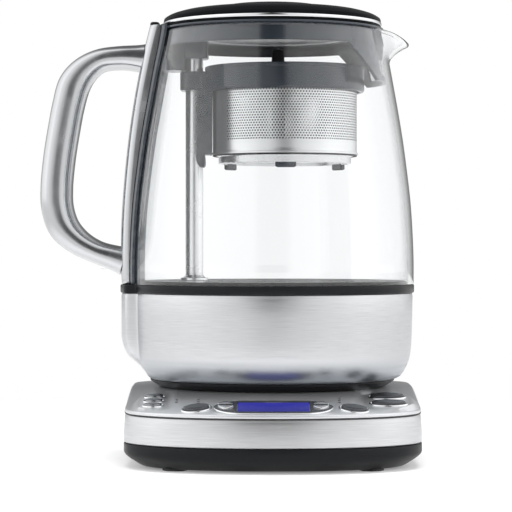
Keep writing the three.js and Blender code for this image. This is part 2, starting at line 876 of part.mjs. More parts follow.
function columnShare(angle) {
  const away = Math.abs(Math.atan2(Math.sin(angle - Math.PI), Math.cos(angle - Math.PI)));
  const outer = Math.asin(columnHalfWidth / shellRadius);
  const inner = Math.asin((columnHalfWidth - columnFlank) / shellRadius);
  return 1 - THREE.MathUtils.smoothstep(away, inner, outer);
}

function columnRing(radius, column, height) {
  return columnAngles().map((angle) => {
    const reach = THREE.MathUtils.lerp(radius, column, columnShare(angle));
    return new THREE.Vector3(reach * Math.cos(angle), reach * Math.sin(angle), height);
  });
}

function makeShell() {
  const ringAt = ([heightShare, radiusShare, columnShareOut], wall) =>
    columnRing(radiusShare * shellRadius - wall, columnShareOut * columnRadius - wall,
      shellLevel + Math.max(heightShare * shellHeight, wall));
  const outer = shellShares.map((row) => ringAt(row, 0));
  const inner = shellShares.slice().reverse().filter((row, i) => i % 2 === 0 || row === shellShares[0])
    .map((row) => ringAt(row, shellWall));
  const [, footShare] = shellShares[0];
  inner.at(0).forEach((point) => point.setZ(shellLevel + shellHeight));
  const flange = [shellWall, 0].map((lift) =>
    columnRing(footShare * shellRadius - shellFlange, footShare * shellRadius - shellFlange, shellLevel + lift));
  return skinned([...outer, ...inner, ...flange], { looped: true });
}

function makeJugBand() {
  const top = jugBandLevel + bandHeight;
  const step = glassRadius - glassWall;
  return skinned([
    columnRing(bandRadius - bandRound, bandColumn - bandRound, jugBandLevel),
    columnRing(bandRadius, bandColumn, jugBandLevel + bandRound),
    columnRing(bandRadius, bandColumn, top - bandRound),
    columnRing(bandRadius - bandRound / 2, bandColumn - bandRound, top),
    columnRing(step, step, top),
    columnRing(step, step, shelfLevel),
    columnRing(step - bandShelfWidth, step - bandShelfWidth, shelfLevel),
    columnRing(step - bandShelfWidth, step - bandShelfWidth, jugBandLevel),
  ], { looped: true });
}

function makeJugFoot() {
  const hole = socketRadius + 2 * clearance + plugWall + clearance;
  const top = jugFootLevel + jugFootHeight;
  return turned([
    [hole, top - footPlate],
    [jugFootTread - treadWidth, top - footPlate],
    [jugFootTread - treadWidth, jugFootLevel],
    [jugFootTread, jugFootLevel],
    [jugFootRadius, top - bandRound],
    [jugFootRadius, top],
    [hole, top],
  ], { closed: true });
}

// Socket in the jug's foot: a cup over the base's boss with a flange on the foot plate and a centre pin
function makePlug() {
  const inner = socketRadius + 2 * clearance;
  const roof = seatHeight + socketRise + plugRoom;
  const plate = jugFootLevel + jugFootHeight + clearance;
  return turned([
    [0, roof + plugCap],
    [inner + plugWall, roof + plugCap],
    [inner + plugWall, plate + plugFlangeHeight],
    [inner + plugFlange + plugWall, plate + plugFlangeHeight],
    [inner + plugFlange + plugWall, plate],
    [inner + plugWall, plate],
    [inner + plugWall, jugFootLevel + 2 * clearance],
    [inner, jugFootLevel + 2 * clearance],
    [inner, roof],
    [plugPin, roof],
    [plugPin, jugFootLevel + 4 * clearance],
    [0, jugFootLevel + 4 * clearance],
  ], { steps: connectorSteps });
}

function makeFloor() {
  const radius = glassRadius - glassWall - sealWidth - 3 * clearance;
  const plate = turned([
    [0, floorLevel],
    [radius - floorRimWall, floorLevel],
    [radius - floorRimWall, floorLevel - floorRim],
    [radius, floorLevel - floorRim],
    [radius, floorTop],
    [0, floorTop],
  ]);
  return cut(plate, disc(motorShaft + clearance, 0, rimLevel).translate(-postPlace, 0, 0));
}

function makeFloorSeal() {
  const outer = glassRadius - glassWall - 2 * clearance;
  const foot = shelfLevel + clearance;
  return turned([
    [outer - sealWidth, foot],
    [outer, foot],
    [outer, foot + sealHeight * sealEdgeShare],
    [outer - sealWidth / 3, foot + sealHeight],
    [outer - sealWidth, foot + sealHeight],
  ], { closed: true });
}

// Heating element: an open ring of sheathed tube under the floor, its two ends turned down
function makeElement() {
  const level = floorLevel - clearance - elementTube;
  const half = THREE.MathUtils.degToRad(elementGap / 2);
  const end = (angle, drop) =>
    new THREE.Vector3(elementRadius * Math.cos(angle), elementRadius * Math.sin(angle), level - drop);
  const points = [end(half, elementLeg), end(half, elementLeg / 2)];
  for (let i = 1; i < elementTurns; i++) points.push(end(half + ((2 * Math.PI - 2 * half) * i) / elementTurns, 0));
  points.push(end(-half, elementLeg / 2), end(-half, elementLeg));
  const section = new THREE.Shape().absarc(0, 0, elementTube, 0, 2 * Math.PI);
  const settings = { steps: elementSteps, curveSegments: 2, extrudePath: new THREE.CatmullRomCurve3(points) };
  return new THREE.ExtrudeGeometry(section, settings);
}

// Lift drive: geared motor under the floor, hollow post over its shaft, screw rod and magnet nut inside the post
function makeMotor() {
  const top = floorLevel - clearance;
  return turned([
    [0, top - motorHeight],
    [motorRadius - motorShaft, top - motorHeight],
    [motorRadius, top - motorHeight + motorShaft],
    [motorRadius, top],
    [motorShaft, top],
    [motorShaft, postLevel + motorShaftRise],
    [0, postLevel + motorShaftRise],
  ], { steps: smallSteps }).translate(-postPlace, 0, 0);
}

function makePost() {
  const inner = liftPostRadius - liftPostWall;
  const top = postLevel + liftPostHeight;
  return turned([
    [inner, postLevel],
    [liftPostRadius + liftPostFlange, postLevel],
    [liftPostRadius + liftPostFlange, postLevel + liftPostFlangeHeight],
    [liftPostRadius, postLevel + liftPostFlangeHeight],
    [liftPostRadius, top],
    [0, top],
    [0, top - liftPostWall],
    [inner, top - liftPostWall],
  ], { steps: smallSteps, closed: true }).translate(-postPlace, 0, 0);
}

function makeScrewRod() {
  const foot = postLevel + motorShaftRise + clearance;
  return disc(screwRodRadius, foot, postTop - liftPostWall - clearance, screwSteps).translate(-postPlace, 0, 0);
}

function makeNut() {
  const middle = carrierFoot + carrierHeight / 2;
  const outer = liftPostRadius - liftPostWall - clearance;
  return ring(screwRodRadius + clearance, outer, middle - nutLength / 2, middle + nutLength / 2, screwSteps)
    .translate(-postPlace, 0, 0);
}

// Glass: radius at a height, then the spout drawn out and down from the rim at the front of the pour
const wallRadius = (height) => glassRadius * readTable(glassShares, (height - glassLevel) / glassHeight);

function innerRadius(height) {
  const slope = (wallRadius(height + glassWall) - wallRadius(height - glassWall)) / (2 * glassWall);
  return wallRadius(height) - glassWall * Math.hypot(1, slope);
}

function spoutShare(angle) {
  const away = Math.abs(Math.atan2(Math.sin(angle), Math.cos(angle))) / THREE.MathUtils.degToRad(spoutSpread);
  return away >= 1 ? 0 : Math.cos((away * Math.PI) / 2) ** 2;
}

function glassPoint(angle, [heightShare, radiusShare]) {
  const share = spoutShare(angle);
  const rise = Math.max(0, (heightShare - spoutStartShare) / (1 - spoutStartShare));
  const reach = radiusShare * glassRadius + spoutReach * share * rise ** 2;
  const height = glassLevel + heightShare * glassHeight - spoutDip * share ** dipPower * rise;
  return new THREE.Vector3(reach * Math.cos(angle), reach * Math.sin(angle), height);
}

function makeGlass() {
  const angles = [];
  const spread = THREE.MathUtils.degToRad(spoutSpread);
  for (let i = -spoutSteps; i <= spoutSteps; i++) angles.push((spread * i) / spoutSteps);
  const rest = roundSteps - 2;
  for (let i = 1; i < rest; i++) angles.push(spread + ((2 * Math.PI - 2 * spread) * i) / rest);
  const outer = glassShares.map((row) => angles.map((angle) => glassPoint(angle, row)));
  const inner = outer.map((points, level) => points.map((point, i) => {
    const side = points[(i + 1) % points.length].clone().sub(points.at(i - 1));
    const above = outer[Math.min(level + 1, outer.length - 1)][i].clone();
    const along = above.sub(outer[Math.max(level - 1, 0)][i]);
    const normal = side.cross(along).normalize();
    const inward = point.clone().addScaledVector(normal, -glassWall);
    if (level === 0) inward.setZ(point.z);
    return inward;
  }));
  return skinned([...outer, ...inner.reverse()], { looped: true });
}

// Handle spine: a strip that follows the glass, cut square below and above
function stripRing(height, reach, back, halfWidth, corner) {
  const side = Math.min(halfWidth, back);
  const points = [];
  const edge = (y) => new THREE.Vector3(-Math.sqrt(Math.max(back ** 2 - y ** 2, 0)), y, height);
  for (const share of arcShares) points.push(edge(side * share));
  const front = -reach;
  for (const share of cornerTurns) {
    const turn = (share * Math.PI) / 2;
    points.push(new THREE.Vector3(front + corner * (1 - Math.sin(turn)), -side + corner * (1 - Math.cos(turn)), height));
  }
  for (const share of cornerTurns.toReversed()) {
    const turn = (share * Math.PI) / 2;
    points.push(new THREE.Vector3(front + corner * (1 - Math.sin(turn)), side - corner * (1 - Math.cos(turn)), height));
  }
  return points;
}

const stripLevels = [...glassShares.map(([share]) => glassLevel + share * glassHeight), rimLevel + spineRise];
const spineReach = (height) =>
  spineRadius * readTable(spineShares, (height - glassLevel) / (glassHeight + spineRise));

function spineBody(grow, back) {
  return skinned(stripLevels.map((height) => {
    const inner = back ?? wallRadius(height) + clearance + liningWall + clearance;
    return stripRing(height, spineReach(height) + grow, inner, spineHalfWidth + grow, spineCorner);
  }));
}

function gripScrewPlaces() {
  const first = gripFoot + gripHeight;
  const low = gripFoot + (gripShares.at(-1)[1] * gripHeight);
  return [first, low];
}

// Stands a body made along +Z on the spine's outer face, pointing away from the jug
function alongGrip(body, height) {
  return body.rotateY(-Math.PI / 2).translate(-spineReach(height), 0, height);
}

function makeSpine() {
  const holes = gripScrewPlaces().flatMap((height) => [
    alongGrip(disc(gripScrewRadius + clearance, -2 * overrun, 2 * overrun), height),
    alongGrip(disc(gripScrewHead + clearance, -2 * overrun, -gripScrewSeat), height),
  ]);
  return cut(spineBody(0), ...holes);
}

// Dark lining between glass and spine, wider than the spine, with a cap over the spine's top
function makeLining() {
  const halfWidth = spineHalfWidth + liningOverlap;
  const rings = stripLevels.map((height) => {
    const inner = wallRadius(height) + clearance;
    const arc = (radius, shares) => shares.map((share) => {
      const y = halfWidth * share;
      return new THREE.Vector3(-Math.sqrt(radius ** 2 - y ** 2), y, height);
    });
    return [...arc(inner, arcShares), ...arc(inner + liningWall, arcShares.toReversed())];
  });
  return skinned(rings);
}

// Grip: a D-shaped loop swept from the spine's top to its foot, thinner in its two arms
function gripBody() {
  const knots = gripShares.map(([reach, height]) =>
    new THREE.Vector3(-reach * gripReach, 0, gripFoot + height * gripHeight));
  const path = new THREE.CatmullRomCurve3(knots, false, 'centripetal');
  const rings = [];
  for (let i = 0; i <= gripSteps; i++) {
    const share = i / gripSteps;
    const knot = share * (gripShares.length - 1);
    const lower = Math.min(Math.floor(knot), gripShares.length - 2);
    const thickness = gripThickness
      * THREE.MathUtils.lerp(gripShares[lower][2], gripShares[lower + 1][2], knot - lower);
    const middle = path.getPoint(share);
    const along = path.getTangent(share);
    const side = new THREE.Vector3(-along.z, 0, along.x);
    rings.push(gripRing(middle, side, thickness / 2));
  }
  return skinned(rings);
}

function gripRing(middle, side, half) {
  const points = [];
  for (let i = 0; i < gripSection; i++) {
    const turn = (2 * Math.PI * i) / gripSection;
    const [c, s] = [Math.cos(turn), Math.sin(turn)];
    const out = Math.sign(c) * Math.abs(c) ** (2 / gripSquareness) * half;
    const across = Math.sign(s) * Math.abs(s) ** (2 / gripSquareness) * gripHalfWidth;
    points.push(middle.clone().addScaledVector(side, out).add(new THREE.Vector3(0, across, 0)));
  }
  return points;
}

function makeGrip() {
  const bores = gripScrewPlaces().map((height) =>
    alongGrip(disc(gripScrewRadius + clearance, -overrun, gripScrewLength + clearance), height));
  return cut(gripBody(), spineBody(clearance, glassRadius / 2), ...bores);
}

function makeGripScrew(height) {
  const seat = -gripScrewSeat - clearance;
  return alongGrip(turned([
    [0, seat - gripScrewHeadHeight],
    [gripScrewHead, seat - gripScrewHeadHeight],
    [gripScrewHead, seat],
    [gripScrewRadius, seat],
    [gripScrewRadius, gripScrewLength],
    [0, gripScrewLength],
  ], { steps: smallSteps }), height);
}

// A panel curved with the glass, from foot to top, its ends drawn in towards the foot
function curvedPanel(foot, top, footSpread, topSpread, outerAt, wall) {
  const rings = [];
  for (let i = 0; i <= panelRows; i++) {
    const height = THREE.MathUtils.lerp(foot, top, i / panelRows);
    const half = THREE.MathUtils.degToRad(THREE.MathUtils.lerp(footSpread, topSpread, i / panelRows) / 2);
    const radius = outerAt(height);
    const points = [];
    for (let j = 0; j <= panelColumns; j++) points.push(panelPoint(radius, half * ((2 * j) / panelColumns - 1), height));
    for (let j = panelColumns; j >= 0; j--) {
      points.push(panelPoint(radius - wall, half * ((2 * j) / panelColumns - 1), height));
    }
    rings.push(points);
  }
  return skinned(rings);
}

function panelPoint(radius, angle, height) {
  return new THREE.Vector3(radius * Math.cos(angle), radius * Math.sin(angle), height);
}

// Collar in the mouth: a ring with a lip on the glass's rim, the post's bracket and the filter's apron
const collarFoot = rimLevel + clearance - collarHeight;
const collarOuter = (height) => innerRadius(height) - looseFit * clearance;

function makeCollar() {
  const lipFoot = rimLevel + clearance;
  const wall = turned([
    [collarOuter(collarFoot) - collarWall, collarFoot],
    [collarOuter(collarFoot), collarFoot],
    [collarOuter(rimLevel), rimLevel],
    [collarOuter(rimLevel), lipFoot],
    [wallRadius(rimLevel), lipFoot],
    [wallRadius(rimLevel), collarTop],
    [wallRadius(rimLevel) - collarLipWidth, collarTop],
    [collarOuter(rimLevel) - collarWall, lipFoot],
  ], { closed: true });
  const top = postTop;
  const reach = collarOuter(top) - collarWall / 2;
  const bracket = [
    block([-reach, -bracketHalfWidth, top - bracketHeight - bracketDrop],
      [-postPlace - liftPostRadius + clearance, bracketHalfWidth, top + bracketWall]),
    disc(liftPostRadius + clearance + bracketWall, top - bracketHeight, top + bracketWall).translate(-postPlace, 0, 0),
    block([-postPlace - liftPostRadius, -bracketHalfWidth, top - bracketHeight],
      [-postPlace + bracketWall, bracketHalfWidth, top + bracketWall]),
  ];
  const apron = curvedPanel(collarFoot - apronDrop, collarFoot + collarHeight / 3, apronFootSpread, apronTopSpread,
    (height) => collarOuter(height) - collarWall / 4, apronWall);
  const bore = disc(liftPostRadius + clearance, 0, top + clearance).translate(-postPlace, 0, 0);
  const window = filterPanel(clearance, overrun);
  return cut(join(wall, ...bracket, apron), bore, window);
}

function filterPanel(grow, depth) {
  const middle = collarFoot - apronDrop / 2;
  const outerAt = (height) => collarOuter(height) - collarWall / 4 - (apronWall - depth) / 2;
  const angle = THREE.MathUtils.radToDeg(grow / glassRadius) * 2;
  return curvedPanel(middle - filterHeight / 2 - grow, middle + filterHeight / 2 + grow,
    filterSpread + angle, filterSpread + filterMargin + angle, outerAt, depth);
}

function makeFilter() {
  return filterPanel(0, filterWall);
}

// Tea basket: carrier on the post, rim, drum, twist-off base, and a lid with a long stem
function makeCarrier() {
  const top = carrierFoot + carrierHeight;
  const near = -postPlace - carrierReach;
  const inside = basketPlace - drumRadius;
  const blade = -postPlace + carrierBladeStep;
  const shape = new THREE.Shape([
    new THREE.Vector2(near, carrierFoot),
    new THREE.Vector2(near, top),
    new THREE.Vector2(inside + basketLedge, top),
    new THREE.Vector2(inside + basketLedge, carrierFoot - carrierBlade),
    new THREE.Vector2(inside - carrierTip / 2, carrierFoot - carrierBlade),
    new THREE.Vector2(inside - carrierTip / 2, carrierFoot - carrierBlade - carrierTipLength),
    new THREE.Vector2(blade, carrierFoot - carrierBlade + carrierTipLength / 2),
    new THREE.Vector2(blade, carrierFoot),
  ]);
  const body = new THREE.ExtrudeGeometry(shape, { depth: 2 * carrierHalfWidth, bevelEnabled: false })
    .rotateX(Math.PI / 2).translate(0, carrierHalfWidth, 0);
  const bore = disc(liftPostRadius + clearance, 0, rimLevel).translate(-postPlace, 0, 0);
  const seat = liftPostRadius + clearance + magnetWall + 2 * clearance;
  const pocket = disc(seat, carrierFoot + (carrierHeight - magnetHeight) / 2 - clearance, top + overrun)
    .translate(-postPlace, 0, 0);
  const rim = disc(basketRimRadius + clearance, basketRimFoot - clearance, rimLevel, roundSteps);
  const drum = disc(drumRadius + drumFlange + clearance, 0, rimLevel, roundSteps);
  return cut(body, bore, pocket, rim.translate(basketPlace, 0, 0), drum.translate(basketPlace, 0, 0));
}

function makeCarrierMagnet() {
  const inner = liftPostRadius + 2 * clearance;
  const foot = carrierFoot + (carrierHeight - magnetHeight) / 2;
  const body = ring(inner, inner + magnetWall - clearance, foot, foot + magnetHeight, smallSteps).translate(-postPlace, 0, 0);
  const rim = disc(basketRimRadius + 2 * clearance, 0, rimLevel, roundSteps).translate(basketPlace, 0, 0);
  return cut(body, rim);
}

function makeBasketRim() {
  const foot = basketRimFoot;
  const top = foot + basketRimHeight;
  const inner = basketRimRadius - basketRimWall;
  const ledgeTop = top - basketLedgeDrop;
  return turned([
    [inner, foot],
    [basketRimRadius - bandRound, foot],
    [basketRimRadius, foot + bandRound],
    [basketRimRadius, top - bandRound],
    [basketRimRadius - bandRound, top],
    [inner, top],
    [inner, ledgeTop],
    [inner - basketLedge, ledgeTop],
    [inner - basketLedge, ledgeTop - basketLedgeHeight],
    [inner, ledgeTop - basketLedgeHeight],
  ], { closed: true }).translate(basketPlace, 0, 0);
}

function makeDrum() {
  const foot = drumFoot;
  const inner = drumRadius - drumWall;
  const rimInner = basketRimRadius - basketRimWall - clearance;
  return turned([
    [inner, foot],
    [drumRadius + drumFlange, foot],
    [drumRadius + drumFlange, foot + drumFlangeHeight],
    [drumRadius, foot + drumFlangeHeight],
    [drumRadius, drumTop - drumFlangeHeight],
    [rimInner, drumTop - drumFlangeHeight],
    [rimInner, drumTop],
    [inner, drumTop],
  ], { closed: true }).translate(basketPlace, 0, 0);
}

// Twist-off base: floor plate, ring, a neck inside the drum and three grip lugs below
function makeTwistBase() {
  const top = drumFoot - clearance;
  const foot = top - twistHeight;
  const neck = drumRadius - drumWall - clearance;
  const body = turned([
    [0, foot + twistHeight / 3],
    [twistRadius - twistWall, foot + twistHeight / 3],
    [twistRadius - twistWall, foot],
    [twistRadius, foot],
    [twistRadius, top - bandRound],
    [neck, top],
    [neck, top + twistNeck],
    [neck - twistWall, top + twistNeck],
    [neck - twistWall, foot + twistHeight / 3 + twistFloor],
    [0, foot + twistHeight / 3 + twistFloor],
  ]);
  const lugs = [];
  for (let i = 0; i < twistLugs; i++) {
    const lug = block([twistRadius - twistLugWidth, -twistLugLength / 2, foot - twistLugDrop],
      [twistRadius - clearance, twistLugLength / 2, foot + twistFloor]);
    lugs.push(lug.rotateZ((2 * Math.PI * i) / twistLugs + Math.PI / 6));
  }
  return join(body, ...lugs).translate(basketPlace, 0, 0);
}

function makeBasketLid() {
  const radius = basketRimRadius - basketRimWall - clearance;
  const plate = disc(radius, basketLidLevel, basketLidLevel + basketLidHeight, roundSteps);
  const stem = disc(basketStemRadius, basketLidLevel - basketStemDrop, basketLidLevel + basketStemRise)
    .translate(-basketStemOffset, 0, 0);
  return join(plate, stem).translate(basketPlace, 0, 0);
}

// Lid: domed cover with a trim ring round its edge, a disc knob, and a liner with its seal in the collar
const lidSideTop = lidLevel + lidSide;
const lidTop = lidLevel + lidRise;

function makeLidCover() {
  const trimFoot = lidLevel + trimStart;
  const trimTop = trimFoot + trimHeight + 2 * clearance;
  const shoulder = lidRadius - lidWall / 2;
  const slope = (lidTop - lidSideTop) / 3;
  return turned([
    [0, lidTop - lidWall],
    [lidFlatRadius, lidTop - lidWall],
    [lidRadius - 2 * lidWall, lidSideTop - lidWall + slope / 2],
    [lidRadius - 2 * lidWall, lidLevel],
    [lidRadius, lidLevel],
    [lidRadius, trimFoot],
    [lidRadius - trimDepth, trimFoot],
    [lidRadius - trimDepth, trimTop],
    [lidRadius, trimTop],
    [shoulder + lidWall / 4, lidSideTop],
    [lidRadius - 2 * lidWall, lidSideTop + slope],
    [lidRadius * domeShare, lidTop - slope / 2],
    [lidFlatRadius, lidTop],
    [0, lidTop],
  ], { steps: lidSteps });
}

function makeTrimRing() {
  const foot = lidLevel + trimStart + clearance;
  const inner = lidRadius - trimDepth + clearance;
  return ring(inner, lidRadius + trimProud, foot, foot + trimHeight, lidSteps);
}

function makeKnob() {
  const foot = lidTop + clearance;
  return turned([
    [0, foot],
    [knobRadius - knobBevel / 2, foot],
    [knobRadius, foot + knobHeight / 4],
    [knobRadius - knobBevel, foot + (knobHeight * 2) / 3],
    [(knobRadius * 2) / 3, foot + knobHeight],
    [0, foot + knobHeight],
  ], { steps: lidSteps });
}

function makeLiner() {
  const foot = lidLevel - linerDrop;
  return turned([
    [0, foot],
    [linerRadius, foot],
    [linerRadius, lidSideTop - lidWall - clearance],
    [linerRadius - linerWall, lidSideTop - lidWall - clearance],
    [linerRadius - linerWall, foot + linerWall],
    [0, foot + linerWall],
  ]);
}

function makeLidSeal() {
  const middle = lidLevel - linerDrop / 2;
  const inner = linerRadius + clearance;
  return turned([
    [inner, middle - lidSealHeight / 2],
    [inner + lidSealWidth, middle],
    [inner, middle + lidSealHeight / 2],
  ], { closed: true });
}

const powerBase = new THREE.Group();
powerBase.add(
  part('base_tray', makeTray(), blackPlastic),
  part('steel_band', makeBand(), brushedSteel),
  part('control_deck', makeDeck(), silverPlastic),
  part('display_bezel', makeBezel(), darkOval),
  part('display_window', makeWindow(), blueDisplay),
  part('control_board', makeBoard(), circuitGreen),
  part('power_socket', makeSocket(), blackPlastic),
  part('socket_contact', makeContact(), brass),
  part('cord_gland', makeGland(), blackPlastic),
  ...footPlaces.map((place, i) => part(`base_foot_${i + 1}`, makeFoot(place), softRubber)),
  ...screwPlaces.map((place, i) => part(`base_screw_${i + 1}`, makeBaseScrew(place), plainSteel)),
  ...controls.map((control) => part(control.name, makeButton(control), control.material)),
);

const jug = new THREE.Group();
jug.add(
  part('jug_foot', makeJugFoot(), blackPlastic),
  part('jug_plug', makePlug(), blackPlastic),
  part('steel_shell', makeShell(), brushedSteel),
  part('jug_band', makeJugBand(), blackPlastic),
  part('glass_jug', makeGlass(), clearGlass),
  part('jug_floor', makeFloor(), plainSteel),
  part('floor_seal', makeFloorSeal(), softRubber),
  part('heating_element', makeElement(), plainSteel),
  part('lift_motor', makeMotor(), plainSteel),
  part('lift_post', makePost(), plainSteel),
  part('screw_rod', makeScrewRod(), plainSteel),
  part('magnet_nut', makeNut(), magnetGrey),
  part('handle_lining', makeLining(), greyPlastic),
  part('handle_spine', makeSpine(), chrome),
  part('handle_grip', makeGrip(), chrome),
  ...gripScrewPlaces().map((height, i) => part(`handle_screw_${i + 1}`, makeGripScrew(height), plainSteel)),
  part('mouth_collar', makeCollar(), greyPlastic),
  part('spout_filter', makeFilter(), plainSteel),
);

const infuser = new THREE.Group();
infuser.add(
  part('basket_carrier', makeCarrier(), greyPlastic),
  part('carrier_magnet', makeCarrierMagnet(), magnetGrey),
  part('basket_rim', makeBasketRim(), greyPlastic),
  part('basket_drum', makeDrum(), plainSteel),
  part('basket_base', makeTwistBase(), plainSteel),
  part('basket_lid', makeBasketLid(), blackPlastic),
);

const lid = new THREE.Group();
lid.add(
  part('lid_cover', makeLidCover(), greyPlastic),
  part('lid_trim_ring', makeTrimRing(), chrome),
  part('lid_knob', makeKnob(), blackPlastic),
  part('lid_liner', makeLiner(), greyPlastic),
  part('lid_seal', makeLidSeal(), softRubber),
);

// The whole maker, its origin on the table under the middle of its footprint
const teaMaker = new THREE.Group();
teaMaker.add(powerBase, jug, infuser, lid);
const footprint = new THREE.Box3().setFromObject(teaMaker).getCenter(new THREE.Vector3());
teaMaker.position.set(-footprint.x, -footprint.y, 0);
teaMaker.updateMatrixWorld(true);

export default teaMaker;
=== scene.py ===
import math
import bpy
import bmesh
import numpy as np
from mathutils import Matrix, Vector


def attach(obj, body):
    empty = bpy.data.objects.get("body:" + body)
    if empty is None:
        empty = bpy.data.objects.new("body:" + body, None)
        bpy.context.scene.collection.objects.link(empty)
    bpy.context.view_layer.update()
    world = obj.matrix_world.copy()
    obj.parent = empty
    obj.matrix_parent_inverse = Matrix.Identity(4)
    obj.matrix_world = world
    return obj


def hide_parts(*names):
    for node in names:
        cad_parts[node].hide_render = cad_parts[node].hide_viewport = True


# Automatic tea maker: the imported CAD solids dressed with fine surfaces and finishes.
# Lengths are in millimetres from the jug's own axis, +Z up, -Y towards the user;
# toRow turns them into the frame's metres.

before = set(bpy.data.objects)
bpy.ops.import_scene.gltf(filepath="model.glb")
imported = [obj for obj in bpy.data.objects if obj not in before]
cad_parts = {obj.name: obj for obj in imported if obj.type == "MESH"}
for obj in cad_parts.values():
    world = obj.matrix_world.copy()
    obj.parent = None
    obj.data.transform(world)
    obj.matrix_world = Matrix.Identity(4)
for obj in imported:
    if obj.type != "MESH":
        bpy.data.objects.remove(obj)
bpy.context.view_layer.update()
print("frame loaded:", len(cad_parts), "nodes")

shared = {
    "jugAxis": (25.66, 4.75),  # the jug's axis in the row frame
    "metres": 0.001,  # in a millimetre
    "clearance": 0.3,
    "mergeDistance": 1e-6,  # metres
    "sharpAngle": 34,  # degrees between faces that stay a crisp edge
    "pathHeight": 100.0,  # curves through shares of a height get their knots as on a body this high
    "tiny": 1e-9,
}


# A point (x, y, z) in mm from the jug's axis becomes metres in the row frame
def toRow(points):
    points = np.asarray(points, float)
    offset = np.array([*shared["jugAxis"], 0.0])
    return (points + offset) * shared["metres"]


# A piece from points in mm and faces as index lists: doubles are merged, faces turned outwards and smoothed;
# it rides on its body and stands for the CAD nodes that it replaces
def makePiece(name, points, faces, material, body, slotName, replaced=()):
    mesh = bpy.data.meshes.new(name)
    mesh.from_pydata(toRow(points), [], faces)
    work = bmesh.new()
    work.from_mesh(mesh)
    bmesh.ops.remove_doubles(work, verts=work.verts, dist=shared["mergeDistance"])
    bmesh.ops.dissolve_degenerate(work, edges=work.edges, dist=shared["mergeDistance"])
    bmesh.ops.recalc_face_normals(work, faces=work.faces)
    work.to_mesh(mesh)
    work.free()
    mesh.shade_smooth()
    mesh.set_sharp_from_angle(angle=math.radians(shared["sharpAngle"]))
    piece = bpy.data.objects.new(name, mesh)
    bpy.context.scene.collection.objects.link(piece)
    mesh.materials.append(material)
    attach(piece, body)
    if replaced:
        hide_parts(*replaced)


# Quads between neighbours of a (rows, columns) grid of point numbers, closed round each row
def gridFaces(rows, columns, closedRows=False):
    number = np.arange(rows * columns).reshape(rows, columns)
    if closedRows:
        number = np.vstack([number, number[:1]])
    number = np.hstack([number, number[:, :1]])
    a, b = number[:-1, :-1], number[:-1, 1:]
    c, d = number[1:, 1:], number[1:, :-1]
    return np.stack([a, b, c, d], -1).reshape(-1, 4).tolist()


# A grid of rings, point (ring, step): closed round each ring, and capped at both ends or looped
def skin(grid, looped=False, caps=True):
    grid = np.asarray(grid, float)
    rows, columns = grid.shape[:2]
    faces = gridFaces(rows, columns, closedRows=looped)
    if caps and not looped:
        faces.append(list(range(columns))[::-1])
        faces.append(list(range((rows - 1) * columns, rows * columns)))
    return grid.reshape(-1, 3), faces


# Rounded corners for a closed or open line of (across, up, fillet): each corner becomes a quadratic curve
# that starts and ends its fillet away from the corner
def filleted(corners, closed=False, steps=5):
    corners = np.asarray(corners, float)
    before, after = np.roll(corners, 1, 0), np.roll(corners, -1, 0)
    line = []
    for i, (here, last, following) in enumerate(zip(corners, before, after)):
        if here[2] == 0 or (not closed and i in (0, len(corners) - 1)):
            line.append(here[:2])
            continue
        toLast, toNext = last[:2] - here[:2], following[:2] - here[:2]
        reachLast = min(here[2], 0.49 * np.hypot(*toLast))
        reachNext = min(here[2], 0.49 * np.hypot(*toNext))
        first = here[:2] + toLast / np.hypot(*toLast) * reachLast
        last = here[:2] + toNext / np.hypot(*toNext) * reachNext
        t = np.linspace(0, 1, steps)[:, None]
        line.extend((1 - t) ** 2 * first + 2 * t * (1 - t) * here[:2] + t ** 2 * last)
    return np.array(line)


# A line of (radius, height) turned about an upright axis: x = radius cos a, y = radius sin a
def turned(line, centre=(0, 0), steps=192, closed=False):
    line = np.asarray(line, float)
    turn = np.linspace(0, 2 * np.pi, steps, endpoint=False)
    grid = np.stack([
        centre[0] + line[:, :1] * np.cos(turn),
        centre[1] + line[:, :1] * np.sin(turn),
        np.repeat(line[:, 1:], steps, 1)], -1)
    return grid.reshape(-1, 3), gridFaces(len(line), steps, closedRows=closed)


# A smooth curve through points: cubic pieces that meet in one slope, knots spaced by the root of the distance
def smoothPath(points, count):
    points = np.asarray(points, float)
    steps = np.concatenate([[0], np.cumsum(np.linalg.norm(np.diff(points[:, :2], axis=0), axis=1) ** 0.5)])
    at = np.linspace(0, steps[-1], count)
    slopes = np.gradient(points, steps, axis=0)
    which = np.clip(np.searchsorted(steps, at, side="right") - 1, 0, len(steps) - 2)
    width = (steps[which + 1] - steps[which])[:, None]
    t = ((at - steps[which]) / width[:, 0])[:, None]
    blendStart = 2 * t ** 3 - 3 * t ** 2 + 1
    blendEnd = 3 * t ** 2 - 2 * t ** 3
    return (blendStart * points[which] + (t ** 3 - 2 * t ** 2 + t) * width * slopes[which]
            + blendEnd * points[which + 1] + (t ** 3 - t ** 2) * width * slopes[which + 1])


# Smooth curve through rows of (share of a height, share of a radius)
def sharePath(shares, radius, count):
    scale = np.array([shared["pathHeight"], radius])
    return smoothPath(np.array(shares) * scale, count) / scale


# 0 up to low, 1 from high on, and 3t^2 - 2t^3 of the share t between them
def smoothStep(value, low, high):
    t = np.clip((value - low) / (high - low), 0, 1)
    return t * t * (3 - 2 * t)


# Angle between 0 and pi from a direction, whichever way round
def angleFrom(turn, direction):
    return np.abs(np.angle(np.exp(1j * (turn - direction))))


# A flat line of (x, y) at one height
def lifted(line, height):
    return np.column_stack([line, np.full(len(line), height)])


